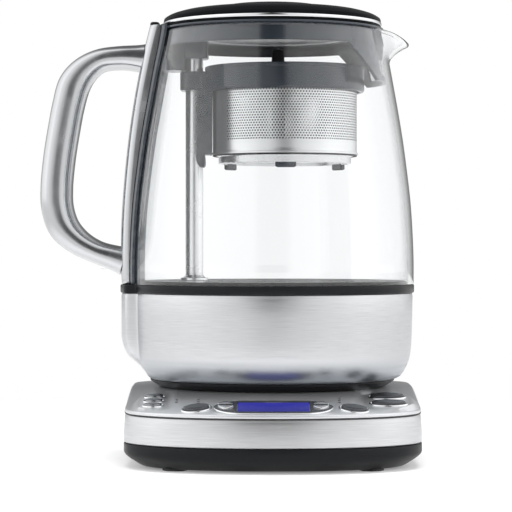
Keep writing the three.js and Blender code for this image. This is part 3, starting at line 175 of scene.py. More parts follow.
# Rounded box as a ring: x = half width |cos|^(2/n) and y = half height |sin|^(2/n), each with its own sign
def squareRing(halfWidth, halfHeight, squareness, steps):
    turn = np.linspace(0, 2 * np.pi, steps, endpoint=False)
    across = np.sign(np.cos(turn)) * np.abs(np.cos(turn)) ** (2 / squareness) * halfWidth
    up = np.sign(np.sin(turn)) * np.abs(np.sin(turn)) ** (2 / squareness) * halfHeight
    return np.stack([across, up], -1)


# Points and faces of several bodies as one mesh
def together(*bodies):
    points, faces, count = [], [], 0
    for bodyPoints, bodyFaces in bodies:
        points.append(np.asarray(bodyPoints))
        faces.extend([[corner + count for corner in face] for face in bodyFaces])
        count += len(bodyPoints)
    return np.concatenate(points), faces


# Materials: shared effects are node groups that put out masks or heights, the shader stays in each material

def addNode(tree, kind, links=None, **settings):
    node = tree.nodes.new(kind)
    for key, value in settings.items():
        setattr(node, key, value)
    for socket, value in (links or {}).items():
        target = node.inputs[socket]
        if isinstance(value, bpy.types.NodeSocket):
            tree.links.new(value, target)
        else:
            target.default_value = value
    return node


def newGroup(name, inputs, outputs):
    group = bpy.data.node_groups.new(name, "ShaderNodeTree")
    for label, kind, value in inputs:
        socket = group.interface.new_socket(name=label, in_out="INPUT", socket_type=kind)
        if value is not None:
            socket.default_value = value
    for label, kind in outputs:
        group.interface.new_socket(name=label, in_out="OUTPUT", socket_type=kind)
    source = group.nodes.new("NodeGroupInput")
    sink = group.nodes.new("NodeGroupOutput")
    return group, source.outputs, sink.inputs


# A value between low and high spread over outLow to outHigh, and held at both ends
def ramp(tree, value, low, high, outLow=0.0, outHigh=1.0):
    node = addNode(tree, "ShaderNodeMapRange", {
        "Value": value, "From Min": low, "From Max": high, "To Min": outLow, "To Max": outHigh})
    return node.outputs["Result"]


def maths(tree, operation, first, second):
    return addNode(tree, "ShaderNodeMath", {0: first, 1: second}, operation=operation).outputs[0]


# Brush lines that run level round the piece: noise squeezed along the height, stretched round the axis
brush = {"detail": 3.0, "roughness": 0.6, "patchAround": 0.12, "patchUp": 0.08}


def makeBrushGroup():
    group, given, result = newGroup("brushLines", [
        ("Vector", "NodeSocketVector", None), ("Lines", "NodeSocketFloat", 4200.0),
        ("Length", "NodeSocketFloat", 14.0)],
        [("Lines", "NodeSocketFloat"), ("Patches", "NodeSocketFloat")])
    split = addNode(group, "ShaderNodeSeparateXYZ", {"Vector": given["Vector"]})
    turn = maths(group, "ARCTAN2", split.outputs["Y"], split.outputs["X"])
    around = maths(group, "MULTIPLY", turn, given["Length"])
    up = maths(group, "MULTIPLY", split.outputs["Z"], given["Lines"])
    spot = addNode(group, "ShaderNodeCombineXYZ", {"X": around, "Y": up, "Z": 0.0})
    fine = addNode(group, "ShaderNodeTexNoise", {
        "Vector": spot.outputs[0], "Scale": 1.0, "Detail": brush["detail"], "Roughness": brush["roughness"]})
    group.links.new(fine.outputs["Fac"], result["Lines"])
    slow = addNode(group, "ShaderNodeCombineXYZ", {
        "X": maths(group, "MULTIPLY", around, brush["patchAround"]),
        "Y": maths(group, "MULTIPLY", up, brush["patchUp"]), "Z": 1.0})
    broad = addNode(group, "ShaderNodeTexNoise", {"Vector": slow.outputs[0], "Scale": 1.0, "Detail": 2.0})
    group.links.new(broad.outputs["Fac"], result["Patches"])
    return group


# Moulded grain: fine noise for the height, with slow blotches where hands and cloths have polished it
blotches = {"scale": 45.0, "detail": 3.0, "low": 0.35, "high": 0.65}


def makeGrainGroup():
    group, given, result = newGroup("mouldGrain", [
        ("Vector", "NodeSocketVector", None), ("Scale", "NodeSocketFloat", 2600.0)],
        [("Height", "NodeSocketFloat"), ("Polish", "NodeSocketFloat")])
    grain = addNode(group, "ShaderNodeTexNoise", {
        "Vector": given["Vector"], "Scale": given["Scale"], "Detail": 2.0})
    group.links.new(grain.outputs["Fac"], result["Height"])
    blotch = addNode(group, "ShaderNodeTexNoise", {
        "Vector": given["Vector"], "Scale": blotches["scale"], "Detail": blotches["detail"]})
    group.links.new(ramp(group, blotch.outputs["Fac"], blotches["low"], blotches["high"]), result["Polish"])
    return group


# Smudges: soft streaks and prints left by wiping, as a mask from 0 (clean) to 1 (smudged)
wiping = {"detail": 5.0, "roughness": 0.62, "distortion": 0.6, "low": 0.48, "high": 0.75}


def makeSmudgeGroup():
    group, given, result = newGroup("smudges", [
        ("Vector", "NodeSocketVector", None), ("Scale", "NodeSocketFloat", 30.0)],
        [("Mask", "NodeSocketFloat")])
    shape = addNode(group, "ShaderNodeTexNoise", {
        "Vector": given["Vector"], "Scale": given["Scale"], "Detail": wiping["detail"],
        "Roughness": wiping["roughness"], "Distortion": wiping["distortion"]})
    group.links.new(ramp(group, shape.outputs["Fac"], wiping["low"], wiping["high"]), result["Mask"])
    return group


# Wear: where the surface turns over an edge, broken up by noise
wearing = {"edgeLow": 0.53, "edgeHigh": 0.62, "detail": 4.0, "low": 0.4, "high": 0.7}


def makeWearGroup():
    group, given, result = newGroup("edgeWear", [
        ("Vector", "NodeSocketVector", None), ("Scale", "NodeSocketFloat", 260.0)],
        [("Mask", "NodeSocketFloat")])
    turnOver = group.nodes.new("ShaderNodeNewGeometry")
    edge = ramp(group, turnOver.outputs["Pointiness"], wearing["edgeLow"], wearing["edgeHigh"])
    broken = addNode(group, "ShaderNodeTexNoise", {
        "Vector": given["Vector"], "Scale": given["Scale"], "Detail": wearing["detail"]})
    patches = ramp(group, broken.outputs["Fac"], wearing["low"], wearing["high"])
    group.links.new(maths(group, "MULTIPLY", edge, patches), result["Mask"])
    return group


brushLines, mouldGrain = makeBrushGroup(), makeGrainGroup()
smudges, edgeWear = makeSmudgeGroup(), makeWearGroup()
axisOffset = tuple(-value * shared["metres"] for value in shared["jugAxis"]) + (0.0,)


# A material with its shader and Object coordinates; centred ones are measured from the jug's axis
def newMaterial(name, color, metallic=0.0, roughness=0.4, centred=False):
    material = bpy.data.materials.new(name)
    material.use_nodes = True
    tree = material.node_tree
    shader = tree.nodes["Principled BSDF"]
    shader.inputs["Base Color"].default_value = (*color, 1.0)
    shader.inputs["Metallic"].default_value = metallic
    shader.inputs["Roughness"].default_value = roughness
    place = tree.nodes.new("ShaderNodeTexCoord").outputs["Object"]
    if centred:
        place = addNode(tree, "ShaderNodeMapping", {"Vector": place, "Location": axisOffset}).outputs[0]
    return material, tree, shader, place


def useGroup(tree, group, place, **values):
    node = tree.nodes.new("ShaderNodeGroup")
    node.node_tree = group
    tree.links.new(place, node.inputs["Vector"])
    for label, value in values.items():
        node.inputs[label].default_value = value
    return node.outputs


def addBump(tree, shader, height, settings):
    bump = addNode(tree, "ShaderNodeBump", {
        "Height": height, "Strength": settings["strength"], "Distance": settings["distance"]})
    tree.links.new(bump.outputs["Normal"], shader.inputs["Normal"])


# Roughness from the first of a pair to the second as a mask goes from low to high
def mixRough(tree, shader, mask, rough, low=0.0, high=1.0):
    tree.links.new(ramp(tree, mask, low, high, *rough), shader.inputs["Roughness"])


# Two colours mixed by a mask into a colour socket
def mixColor(tree, target, mask, first, second):
    mix = tree.nodes.new("ShaderNodeMix")
    mix.data_type = "RGBA"
    tree.links.new(mask, mix.inputs["Factor"])
    mix.inputs["A"].default_value = (*first, 1.0)
    mix.inputs["B"].default_value = (*second, 1.0)
    tree.links.new(mix.outputs["Result"], target)


# rough is the pair of roughness values that a finish goes between; distances are in metres
brushedSheet = {"light": (0.66, 0.665, 0.675), "rough": (0.3, 0.42), "lines": 5200.0, "length": 5.0,
                "strength": 0.16, "distance": 0.00012, "low": 0.3, "high": 0.7}
moulded = {"grain": 2600.0, "strength": 0.12, "distance": 0.0001, "shine": 0.5}
finishes = {
    # share: how far the brush lines go to the dark colour; the pair of heights in metres after it is where
    # the colour goes over to the dark one towards the bottom, painted shade on the shell's lower curve; the
    # band's pair lies below its foot, so it gets none
    "brushed": {**brushedSheet, "dark": (0.5, 0.505, 0.515), "share": 1.0, "under": (0.0, -0.01)},
    "shell": {**brushedSheet, "dark": (0.35, 0.37, 0.395), "share": 0.5, "under": (0.067, 0.052)},
    "plain": {"color": (0.74, 0.745, 0.75), "rough": (0.24, 0.36), "smudge": 40.0},
    # axis and radius of the drum, in metres; between two depths under its outer face the sheet goes rougher
    # and over to the near-black inside colour, painted shade for the dark inside of the drum and its holes
    "sieve": {"color": (0.74, 0.745, 0.75), "inside": (0.05, 0.052, 0.055), "rough": (0.5, 0.3),
              "axis": 0.0074, "radius": 0.0424, "depths": (0.00012, 0.00004)},
    "chrome": {"color": (0.80, 0.81, 0.825), "rough": (0.07, 0.17), "smudge": 30.0},
    # darker chrome for the small caps: painted reflection, the dark reflection these chrome caps show
    "paintedReflection": {"color": (0.26, 0.265, 0.275), "rough": (0.1, 0.2), "smudge": 30.0},
    "satin": {"color": (0.56, 0.57, 0.585), "rough": (0.2, 0.3), "smudge": 30.0},
    "brass": {"color": (0.72, 0.52, 0.24), "rough": (0.25, 0.4), "smudge": 30.0},
    "silver": {"light": (0.60, 0.61, 0.625), "dark": (0.53, 0.54, 0.555), "metallic": 0.75,
               "rough": (0.3, 0.42), "flake": 3800.0, "low": 0.4, "high": 0.6, "smudge": 22.0,
               "strength": 0.05, "distance": 0.00005},
    "black": {**moulded, "color": (0.006, 0.0065, 0.0075), "worn": (0.03, 0.032, 0.035), "rough": (0.3, 0.45),
              "shine": 0.13},
    "grey": {**moulded, "color": (0.016, 0.021, 0.029), "worn": (0.06, 0.065, 0.07), "rough": (0.14, 0.24),
             "strength": 0.008, "shine": 0.55},
    "oval": {**moulded, "color": (0.03, 0.032, 0.036), "worn": (0.1, 0.1, 0.105), "rough": (0.12, 0.24),
             "strength": 0.04},
    "lid": {**moulded, "color": (0.004, 0.0045, 0.005), "worn": (0.03, 0.031, 0.033), "rough": (0.12, 0.22),
            "strength": 0.05, "shine": 0.015},
    "rubber": {**moulded, "color": (0.02, 0.02, 0.021), "worn": (0.05, 0.05, 0.05), "rough": (0.75, 0.9)},
    "board": {**moulded, "color": (0.01, 0.09, 0.03), "worn": (0.2, 0.25, 0.1), "rough": (0.35, 0.5),
              "grain": 900.0},
    "magnet": {**moulded, "color": (0.1, 0.1, 0.105), "worn": (0.2, 0.2, 0.2), "rough": (0.4, 0.55),
               "grain": 1200.0},
    # facing: between these the glass goes over to the colour of its edges; shadow: what it lets through
    "glass": {"color": (0.985, 0.992, 0.996), "edge": (0.7, 0.72, 0.74), "facing": (0.3, 1.0), "ior": 1.45,
              "shadow": (0.96, 0.97, 0.97)},
    # front and rear: Y in metres between which the display turns brighter
    "display": {"color": (0.01, 0.01, 0.06), "rough": 0.08, "front": -0.0915, "rear": -0.0765,
                "raster": 420.0, "glowShare": 0.8, "rasterShare": 0.2, "low": (0.008, 0.009, 0.12),
                "high": (0.03, 0.032, 0.3)},
}


def makeBrushed(name, settings):
    material, tree, shader, place = newMaterial(name, settings["light"], metallic=1.0, centred=True)
    lines = useGroup(tree, brushLines, place, Lines=settings["lines"], Length=settings["length"])
    level = addNode(tree, "ShaderNodeSeparateXYZ", {"Vector": place}).outputs["Z"]
    ends = settings["low"], settings["high"]
    # Brush lines go partly to the dark colour; below the given heights the colour goes fully to it, painted
    # shade on the lower curve
    linesAndPaintedShade = maths(tree, "MAXIMUM", ramp(tree, lines["Lines"], *ends, 0.0, settings["share"]),
                   ramp(tree, level, *settings["under"]))
    mixColor(tree, shader.inputs["Base Color"], linesAndPaintedShade, settings["light"], settings["dark"])
    mixRough(tree, shader, lines["Patches"], settings["rough"], *ends)
    addBump(tree, shader, lines["Lines"], settings)
    return material


def makePolished(name, settings):
    material, tree, shader, place = newMaterial(name, settings["color"], metallic=1.0)
    smudge = useGroup(tree, smudges, place, Scale=settings["smudge"])
    mixRough(tree, shader, smudge["Mask"], settings["rough"])
    return material


# Perforated sheet: polished outside; inside and in its holes rougher and near-black, painted shade for the
# dark inside of the drum; by distance from the basket's own axis
def makeSieve(name, settings):
    material, tree, shader, place = newMaterial(name, settings["color"], metallic=1.0, centred=True)
    toAxis = (-settings["axis"], 0.0, 0.0)
    moved = addNode(tree, "ShaderNodeVectorMath", {0: place, 1: toAxis}, operation="ADD").outputs[0]
    level = (1.0, 1.0, 0.0)
    flat = addNode(tree, "ShaderNodeVectorMath", {0: moved, 1: level}, operation="MULTIPLY").outputs[0]
    reach = addNode(tree, "ShaderNodeVectorMath", {0: flat}, operation="LENGTH").outputs["Value"]
    outside = ramp(tree, reach, *(settings["radius"] - depth for depth in settings["depths"]))
    mixColor(tree, shader.inputs["Base Color"], outside, settings["inside"], settings["color"])
    mixRough(tree, shader, outside, settings["rough"])
    return material


def makeMoulded(name, settings):
    material, tree, shader, place = newMaterial(name, settings["color"])
    shader.inputs["Specular IOR Level"].default_value = settings["shine"]
    grain = useGroup(tree, mouldGrain, place, Scale=settings["grain"])
    wear = useGroup(tree, edgeWear, place)
    mixColor(tree, shader.inputs["Base Color"], wear["Mask"], settings["color"], settings["worn"])
    mixRough(tree, shader, grain["Polish"], settings["rough"])
    addBump(tree, shader, grain["Height"], settings)
    return material


def makeSilver(name, settings):
    material, tree, shader, place = newMaterial(name, settings["light"], metallic=settings["metallic"])
    flake = addNode(tree, "ShaderNodeTexNoise", {"Vector": place, "Scale": settings["flake"], "Detail": 1.0})
    tint = ramp(tree, flake.outputs["Fac"], settings["low"], settings["high"])
    mixColor(tree, shader.inputs["Base Color"], tint, settings["light"], settings["dark"])
    smudge = useGroup(tree, smudges, place, Scale=settings["smudge"])
    mixRough(tree, shader, smudge["Mask"], settings["rough"])
    addBump(tree, shader, flake.outputs["Fac"], settings)
    return material


# Clear glass with a grey tint at its edges; shadow rays pass it as through a thin pane
def makeGlass(name, settings):
    material, tree, shader, place = newMaterial(name, settings["color"], roughness=0.0)
    facing = addNode(tree, "ShaderNodeLayerWeight", {"Blend": 0.5}).outputs["Facing"]
    edges = ramp(tree, facing, *settings["facing"])
    mixColor(tree, shader.inputs["Base Color"], edges, settings["color"], settings["edge"])
    shader.inputs["Transmission Weight"].default_value = 1.0
    shader.inputs["IOR"].default_value = settings["ior"]
    clear = addNode(tree, "ShaderNodeBsdfTransparent", {"Color": (*settings["shadow"], 1.0)})
    path = tree.nodes.new("ShaderNodeLightPath")
    mix = addNode(tree, "ShaderNodeMixShader", {
        "Fac": path.outputs["Is Shadow Ray"], 1: shader.outputs[0], 2: clear.outputs[0]})
    tree.links.new(mix.outputs[0], tree.nodes["Material Output"].inputs["Surface"])
    return material


# Blue display: brighter towards the top edge, with faint level lines of the panel's own raster
def makeDisplay(name, settings):
    material, tree, shader, place = newMaterial(name, settings["color"], roughness=settings["rough"])
    split = addNode(tree, "ShaderNodeSeparateXYZ", {"Vector": place})
    glow = ramp(tree, split.outputs["Y"], settings["front"], settings["rear"])
    raster = addNode(tree, "ShaderNodeTexWave", {"Vector": place, "Scale": settings["raster"]})
    level = maths(tree, "ADD", maths(tree, "MULTIPLY", glow, settings["glowShare"]),
                  maths(tree, "MULTIPLY", raster.outputs["Fac"], settings["rasterShare"]))
    mixColor(tree, shader.inputs["Emission Color"], level, settings["low"], settings["high"])
    shader.inputs["Emission Strength"].default_value = 1.0
    return material


brushedSteel = makeBrushed("brushedSteel", finishes["brushed"])
shellSteel = makeBrushed("shellSteel", finishes["shell"])
plainSteel = makePolished("plainSteel", finishes["plain"])
chrome = makePolished("chromePlate", finishes["chrome"])
drumSheet = makeSieve("drumSheet", finishes["sieve"])
satinChrome = makePolished("satinChrome", finishes["satin"])
paintedReflectionChrome = makePolished("paintedReflectionChrome", finishes["paintedReflection"])
silverDeck = makeSilver("silverLacquer", finishes["silver"])
blackPlastic = makeMoulded("blackPlastic", finishes["black"])
greyPlastic = makeMoulded("greyPlastic", finishes["grey"])
ovalPlastic = makeMoulded("ovalPlastic", finishes["oval"])
lidPlastic = makeMoulded("lidPlastic", finishes["lid"])
softRubber = makeMoulded("softRubber", finishes["rubber"])
circuitBoard = makeMoulded("circuitBoard", finishes["board"])
brassContact = makePolished("brassContact", finishes["brass"])
magnetGrey = makeMoulded("magnetGrey", finishes["magnet"])
displayFace = makeDisplay("displayFace", finishes["display"])
jugGlass = makeGlass("jugGlass", finishes["glass"])
print("finishes made")

# Power base: outline, tray, steel band, deck, controls

base = {
    "halfWidth": 85.0, "frontCentre": 45.0, "frontReach": 55.0, "frontSquareness": 2.2,
    "rearCentre": 50.0, "rearReach": 40.0, "rearSquareness": 2.8, "steps": 288, "halvings": 40,
    "lean": 1.0, "deckFront": 33.0, "deckRear": 41.5, "riseStart": -66.0, "riseEnd": 34.0,
    "seatHeight": 43.2, "seatRadius": 65.0, "holeRadius": 17.5, "padBlend": 1.6,
}
baseTurn = np.linspace(0, 2 * np.pi, base["steps"], endpoint=False)


# Reach of the plan outline at each angle, found by halving: straight sides, closed in front and behind
# by a super-ellipse, where (x / a)^n + (y / b)^n = 1
def outlineReach(turn, inset):
    farthest = base["halfWidth"] + base["frontCentre"] + base["frontReach"]
    inside, outside = np.zeros_like(turn), np.full_like(turn, farthest)
    for _ in range(base["halvings"]):
        middle = (inside + outside) / 2
        x, y = middle * np.cos(turn), middle * np.sin(turn)
        across = np.abs(x) / (base["halfWidth"] - inset)
        front = np.maximum(0, -base["frontCentre"] - y) / (base["frontReach"] - inset)
        rear = np.maximum(0, y - base["rearCentre"]) / (base["rearReach"] - inset)
        inFront = across ** base["frontSquareness"] + front ** base["frontSquareness"]
        behind = across ** base["rearSquareness"] + rear ** base["rearSquareness"]
        value = np.where(y < -base["frontCentre"], inFront, np.where(y > base["rearCentre"], behind, across))
        inside, outside = np.where(value < 1, middle, inside), np.where(value < 1, outside, middle)
    return inside


def edgeHeight(y):
    risen = smoothStep(y, base["riseStart"], base["riseEnd"])
    return base["deckFront"] + (base["deckRear"] - base["deckFront"]) * risen


# One ring of the base: the outline drawn in by inset, at a height that may depend on y
def baseRing(inset, height):
    reach = outlineReach(baseTurn, inset)
    x, y = reach * np.cos(baseTurn), reach * np.sin(baseTurn)
    level = height(y) if callable(height) else np.full_like(x, height)
    return np.stack([x, y, level], -1)


# A ring that stays a drop under the deck's outer edge
def edgeRing(inset, drop):
    return baseRing(inset, lambda y: edgeHeight(y) - drop)


# Slope from the seat's edge straight down to the outer edge, before the pads
def slopeHeight(x, y):
    edge = outlineReach(np.array([math.atan2(y, x)]), base["lean"])[0]
    reach = math.hypot(x, y)
    share = min(max((reach - base["seatRadius"]) / (edge - base["seatRadius"]), 0), 1)
    return base["seatHeight"] + (edgeHeight(y * edge / reach) - base["seatHeight"]) * share


# The side buttons stand on pads that fall to the front only: centre x and y, half length and half depth
pads = []
for x, y, halfLength, halfDepth in ((65.0, -54.0, 12.5, 18.5), (-67.5, -54.5, 7.5, 17.0)):
    fall = (slopeHeight(x, y + halfDepth / 2) - slopeHeight(x, y - halfDepth / 2)) / halfDepth
    pads.append((x, y, halfLength, halfDepth, slopeHeight(x, y), fall))


# The level becomes the pad's plane where away, the fourth root of (dx / halfLength)^4 + (dy / halfDepth)^4,
# is under 1, and is itself again past padBlend
def withPads(x, y, level):
    for padX, padY, halfLength, halfDepth, height, fall in pads:
        away = (np.abs((x - padX) / halfLength) ** 4 + np.abs((y - padY) / halfDepth) ** 4) ** 0.25
        level = level + (height + fall * (y - padY) - level) * (1 - smoothStep(away, 1.0, base["padBlend"]))
    return level


# A ring on the deck: share 0 is the seat's edge, share 1 the outer edge; drop goes below the surface
def deckRing(share, drop=0.0):
    edge = outlineReach(baseTurn, base["lean"])
    reach = base["seatRadius"] + (edge - base["seatRadius"]) * share
    level = base["seatHeight"] + (edgeHeight(edge * np.sin(baseTurn)) - base["seatHeight"]) * share
    x, y = reach * np.cos(baseTurn), reach * np.sin(baseTurn)
    return np.stack([x, y, withPads(x, y, level) - drop], -1)


def roundRing(radius, height, turn=baseTurn):
    return np.stack([radius * np.cos(turn), radius * np.sin(turn), np.full_like(turn, height)], -1)


tray = {"foot": 1.0, "top": 14.2, "wall": 3.0, "wallFoot": 8.0, "floor": 2.6, "floorInset": 13.0,
        # inset and height of the outer skin from the sole up to the rim
        "skin": [(11.6, 1.0), (10.4, 1.25), (8.6, 2.1), (6.2, 3.6), (4.0, 5.0), (2.3, 6.2), (1.1, 7.3),
                 (0.35, 8.3), (0.0, 9.4), (0.0, 13.3), (0.25, 13.9), (0.9, 14.2)]}
rings = [baseRing(inset, height) for inset, height in tray["skin"]]
rings += [baseRing(tray["wall"], tray["top"]), baseRing(tray["wall"], tray["wallFoot"]),
          baseRing(tray["floorInset"], tray["foot"] + tray["floor"])]
makePiece("baseTray", *skin(rings), blackPlastic, "power_base", "black_plastic", ["base_tray"])

band = {"foot": 14.5, "wall": 1.2, "gap": 2.7,
        # inset and share of the height, from the foot up
        "skin": [(0.45, 0.0), (0.0, 0.03), (0.05, 0.2), (0.12, 0.4), (0.3, 0.6), (0.58, 0.8), (0.95, 0.97),
                 (1.35, 1.0)]}


# A ring of the band: share 0 is its foot, share 1 its top a gap under the deck's edge
def bandRing(inset, share):
    return baseRing(inset, lambda y: band["foot"] + (edgeHeight(y) - band["gap"] - band["foot"]) * share)


rings = [bandRing(inset, share) for inset, share in band["skin"]]
rings += [bandRing(base["lean"] + band["wall"], 1.0), bandRing(band["wall"], 0.0)]
makePiece("steelBand", *skin(rings, looped=True), brushedSteel, "power_base", "brushed_steel", ["steel_band"])

deck = {"wall": 2.0, "lip": 2.4, "skirt": 6.0, "seatRings": (30, 45, 58, 63.4), "underShares": (0.66, 0.33),
        # the seat turns down here: radius and height, then a share of the slope and its drop
        "turn": (64.4, 43.12), "turnEnd": (0.035, -0.02), "slopeShares": np.linspace(0.08, 0.94, 18),
        # inset and drop of the rolled outer edge
        "edge": [(0.9, -0.05), (0.45, 0.12), (0.15, 0.45), (0.0, 0.9), (0.0, 1.9), (0.25, 2.3)]}
skirtInset = base["lean"] + band["wall"] + shared["clearance"]
edgeInset = base["lean"] - shared["clearance"]
skirtFoot = deck["lip"] + deck["skirt"]
rings = [roundRing(radius, base["seatHeight"]) for radius in (base["holeRadius"], *deck["seatRings"])]
rings += [roundRing(*deck["turn"]), deckRing(*deck["turnEnd"])]
rings += [deckRing(share) for share in deck["slopeShares"]]
rings += [edgeRing(edgeInset + inset, drop) for inset, drop in deck["edge"]]
rings += [edgeRing(skirtInset, deck["lip"]), edgeRing(skirtInset, skirtFoot),
          edgeRing(skirtInset + deck["wall"], skirtFoot), edgeRing(skirtInset + deck["wall"], deck["lip"])]
rings += [deckRing(share, deck["wall"]) for share in deck["underShares"]]
rings += [roundRing(radius, base["seatHeight"] - deck["wall"])
          for radius in (base["seatRadius"] - base["lean"], base["holeRadius"])]
makePiece("controlDeck", *skin(rings, looped=True), silverDeck, "power_base", "silver_deck", ["control_deck"])
# Dark gasket in the seam between deck and band: inset and drop of its section
seam = [(1.6, 2.75), (0.75, 2.75), (0.55, 2.6), (0.55, 2.1), (0.75, 1.95), (1.6, 1.95)]
makePiece("deckGasket", *skin([edgeRing(inset, drop) for inset, drop in seam], looped=True), softRubber,
          "power_base", "rubber")
print("base made")


def deckHeight(x, y):
    return withPads(x, y, slopeHeight(x, y))


# Frame of a control on the deck: centre, right, up along the slope and the outward normal
def deckFrame(x, y):
    step = shared["clearance"]
    slopeX = (deckHeight(x + step, y) - deckHeight(x - step, y)) / (2 * step)
    slopeY = (deckHeight(x, y + step) - deckHeight(x, y - step)) / (2 * step)
    normal = np.array([-slopeX, -slopeY, 1.0])
    normal /= np.linalg.norm(normal)
    right = np.array([1.0, 0.0, slopeX])
    right /= np.linalg.norm(right)
    return np.array([x, y, deckHeight(x, y)]), right, np.cross(normal, right), normal


# Flat outline (across, up) and heights laid on a control's frame
def onFrame(at, outline, height):
    centre, right, up, normal = at
    return centre + outline[:, :1] * right + outline[:, 1:2] * up + height * normal


# The outline grown evenly by a distance, along its own edge normals
def grown(outline, distance):
    edge = np.roll(outline, -1, 0) - np.roll(outline, 1, 0)
    side = np.stack([edge[:, 1], -edge[:, 0]], -1)
    return outline + side / np.linalg.norm(side, axis=1, keepdims=True) * distance


def ovalOutline(length, height, steps=96):
    turn = np.linspace(0, 2 * np.pi, steps, endpoint=False)
    return np.stack([length / 2 * np.cos(turn), height / 2 * np.sin(turn)], -1)


# Cap of a button: straight side, rounded shoulder, and a face dished towards its middle
def capBody(at, outline, foot, top, dish, shoulder=0.7):
    rings = [onFrame(at, outline, foot), onFrame(at, outline, top - shoulder)]
    for turn in np.linspace(0, np.pi / 2, 6)[1:]:
        inset, drop = shoulder * (1 - math.cos(turn)), shoulder * (1 - math.sin(turn))
        rings.append(onFrame(at, grown(outline, -inset), top - drop))
    for share in (0.8, 0.6, 0.4, 0.2, 0.02):
        rings.append(onFrame(at, grown(outline, -shoulder) * share, top - dish * (1 - share ** 2)))
    return skin(rings)


# Raised ring round a button: a half-round bead that follows its outline
def beadBody(at, outline, gap, width, rise, foot=-0.6):
    rings = [onFrame(at, grown(outline, gap), foot)]
    for turn in np.linspace(0, np.pi, 9):
        across = gap + width / 2 * (1 - math.cos(turn))
        rings.append(onFrame(at, grown(outline, across), rise * math.sin(turn)))
    rings.append(onFrame(at, grown(outline, gap + width), foot))
    return skin(rings, looped=True)


# The rise less the dish stays over the 1 mm that a button goes down
buttonSettings = {"rise": 1.7, "foot": -3.2, "ringGap": 0.35, "ringRise": 0.75}
# The small caps are chrome; their darker colour is a painted reflection
smallOval = (10.0, 6.6, 0.8, 0.3, paintedReflectionChrome, "chrome")
frontOval = (14.4, 10.6, 1.15, 0.45, ovalPlastic, "oval_plastic")
sideOval = (19.0, 11.4, 1.3, 0.5, ovalPlastic, "oval_plastic")
ovalButtons = {
    # node: (x, y, length, height, ring width, dish, material, slot)
    "basket_button": (-67.5, -43.0, *smallOval),
    "auto_start_button": (-67.5, -54.5, *smallOval),
    "keep_warm_button": (-67.5, -66.0, *smallOval),
    "tea_type_button": (-42.7, -84.0, *frontOval),
    "strength_button": (44.7, -84.0, *frontOval),
    "tea_start_button": (65.0, -45.0, *sideOval),
    "water_start_button": (65.0, -63.0, *sideOval),
}
beads = []
for node, (x, y, length, height, ringWidth, dish, material, slotName) in ovalButtons.items():
    at = deckFrame(x, y)
    outline = ovalOutline(length, height)
    cap = capBody(at, outline, buttonSettings["foot"], buttonSettings["rise"], dish)
    makePiece(node.replace("_button", "") + ".cap", *cap, material, node, slotName, [node])
    beads.append(beadBody(at, outline, buttonSettings["ringGap"], ringWidth, buttonSettings["ringRise"]))
makePiece("buttonRings", *together(*beads), chrome, "power_base", "chrome")

bezel = {"line": -87.5, "length": 65.0, "height": 18.5, "rise": 0.5, "depth": 2.6, "endShare": 0.75,
         "windowLength": 39.8, "windowHeight": 14.6, "sink": 0.4,
         "rimGap": 0.05, "rimWidth": 0.55, "rimRise": 0.42}
arrow = {"place": 26.4, "spread": 2.9, "length": 8.6, "height": 4.2, "rise": 1.4, "foot": -4.2, "dish": -0.25,
         "shoulder": 0.35, "cornerShare": 0.5, "footShare": 0.9}
bezelAt = deckFrame(0, bezel["line"])


# Straight above and below, half-ellipses at both ends
def bezelOutline(steps=40):
    half, tall = bezel["length"] / 2, bezel["height"] / 2
    straight = half - bezel["height"] * bezel["endShare"]
    turn = np.linspace(-np.pi / 2, np.pi / 2, steps)
    right = np.stack([straight + (half - straight) * np.cos(turn), tall * np.sin(turn)], -1)
    side = np.linspace(straight, -straight, 30)[1:-1]
    top = np.stack([side, np.full_like(side, tall)], -1)
    return np.concatenate([right, top, -right, -top])


# Level foot under a pointed arch of two quadratic curves; turned over for the arrow that points down
def arrowOutline(up, steps=16):
    half, tall = arrow["length"] / 2, arrow["height"] / 2
    t = np.linspace(0, 1, steps)[:, None]
    corner = np.array([half, -tall * arrow["cornerShare"]])
    control, tip = np.array([half / 2, tall]), np.array([0, tall])
    rightSide = (1 - t) ** 2 * corner + 2 * t * (1 - t) * control + t ** 2 * tip
    leftSide = rightSide[::-1][1:] * (-1, 1)
    footHalf = half * arrow["footShare"]
    foot = np.array([[-footHalf, -tall], [0, -tall], [footHalf, -tall]])
    outline = np.concatenate([foot, rightSide, leftSide])
    return outline if up > 0 else outline[::-1] * (1, -1)


# Reach of a convex outline at given angles, read off its own points
def reachAt(outline, turn):
    own = np.arctan2(outline[:, 1], outline[:, 0])
    order = np.argsort(own)
    return np.interp(turn, own[order], np.hypot(*outline[order].T), period=2 * np.pi)


corner = math.atan2(bezel["windowHeight"], bezel["windowLength"])
bezelTurn = np.sort(np.concatenate([np.linspace(-np.pi, np.pi, 180, endpoint=False),
                                    [corner, -corner, np.pi - corner, corner - np.pi]]))
bezelReach = reachAt(bezelOutline(200), bezelTurn)
cosTurn, sinTurn = np.abs(np.cos(bezelTurn)) + shared["tiny"], np.abs(np.sin(bezelTurn)) + shared["tiny"]
windowReach = np.minimum(bezel["windowLength"] / 2 / cosTurn, bezel["windowHeight"] / 2 / sinTurn)


# A ring on the bezel: reach drawn in by an inset, at a height over the deck
def bezelRing(reach, inset, height):
    reach = reach - inset
    return onFrame(bezelAt, np.stack([reach * np.cos(bezelTurn), reach * np.sin(bezelTurn)], -1), height)


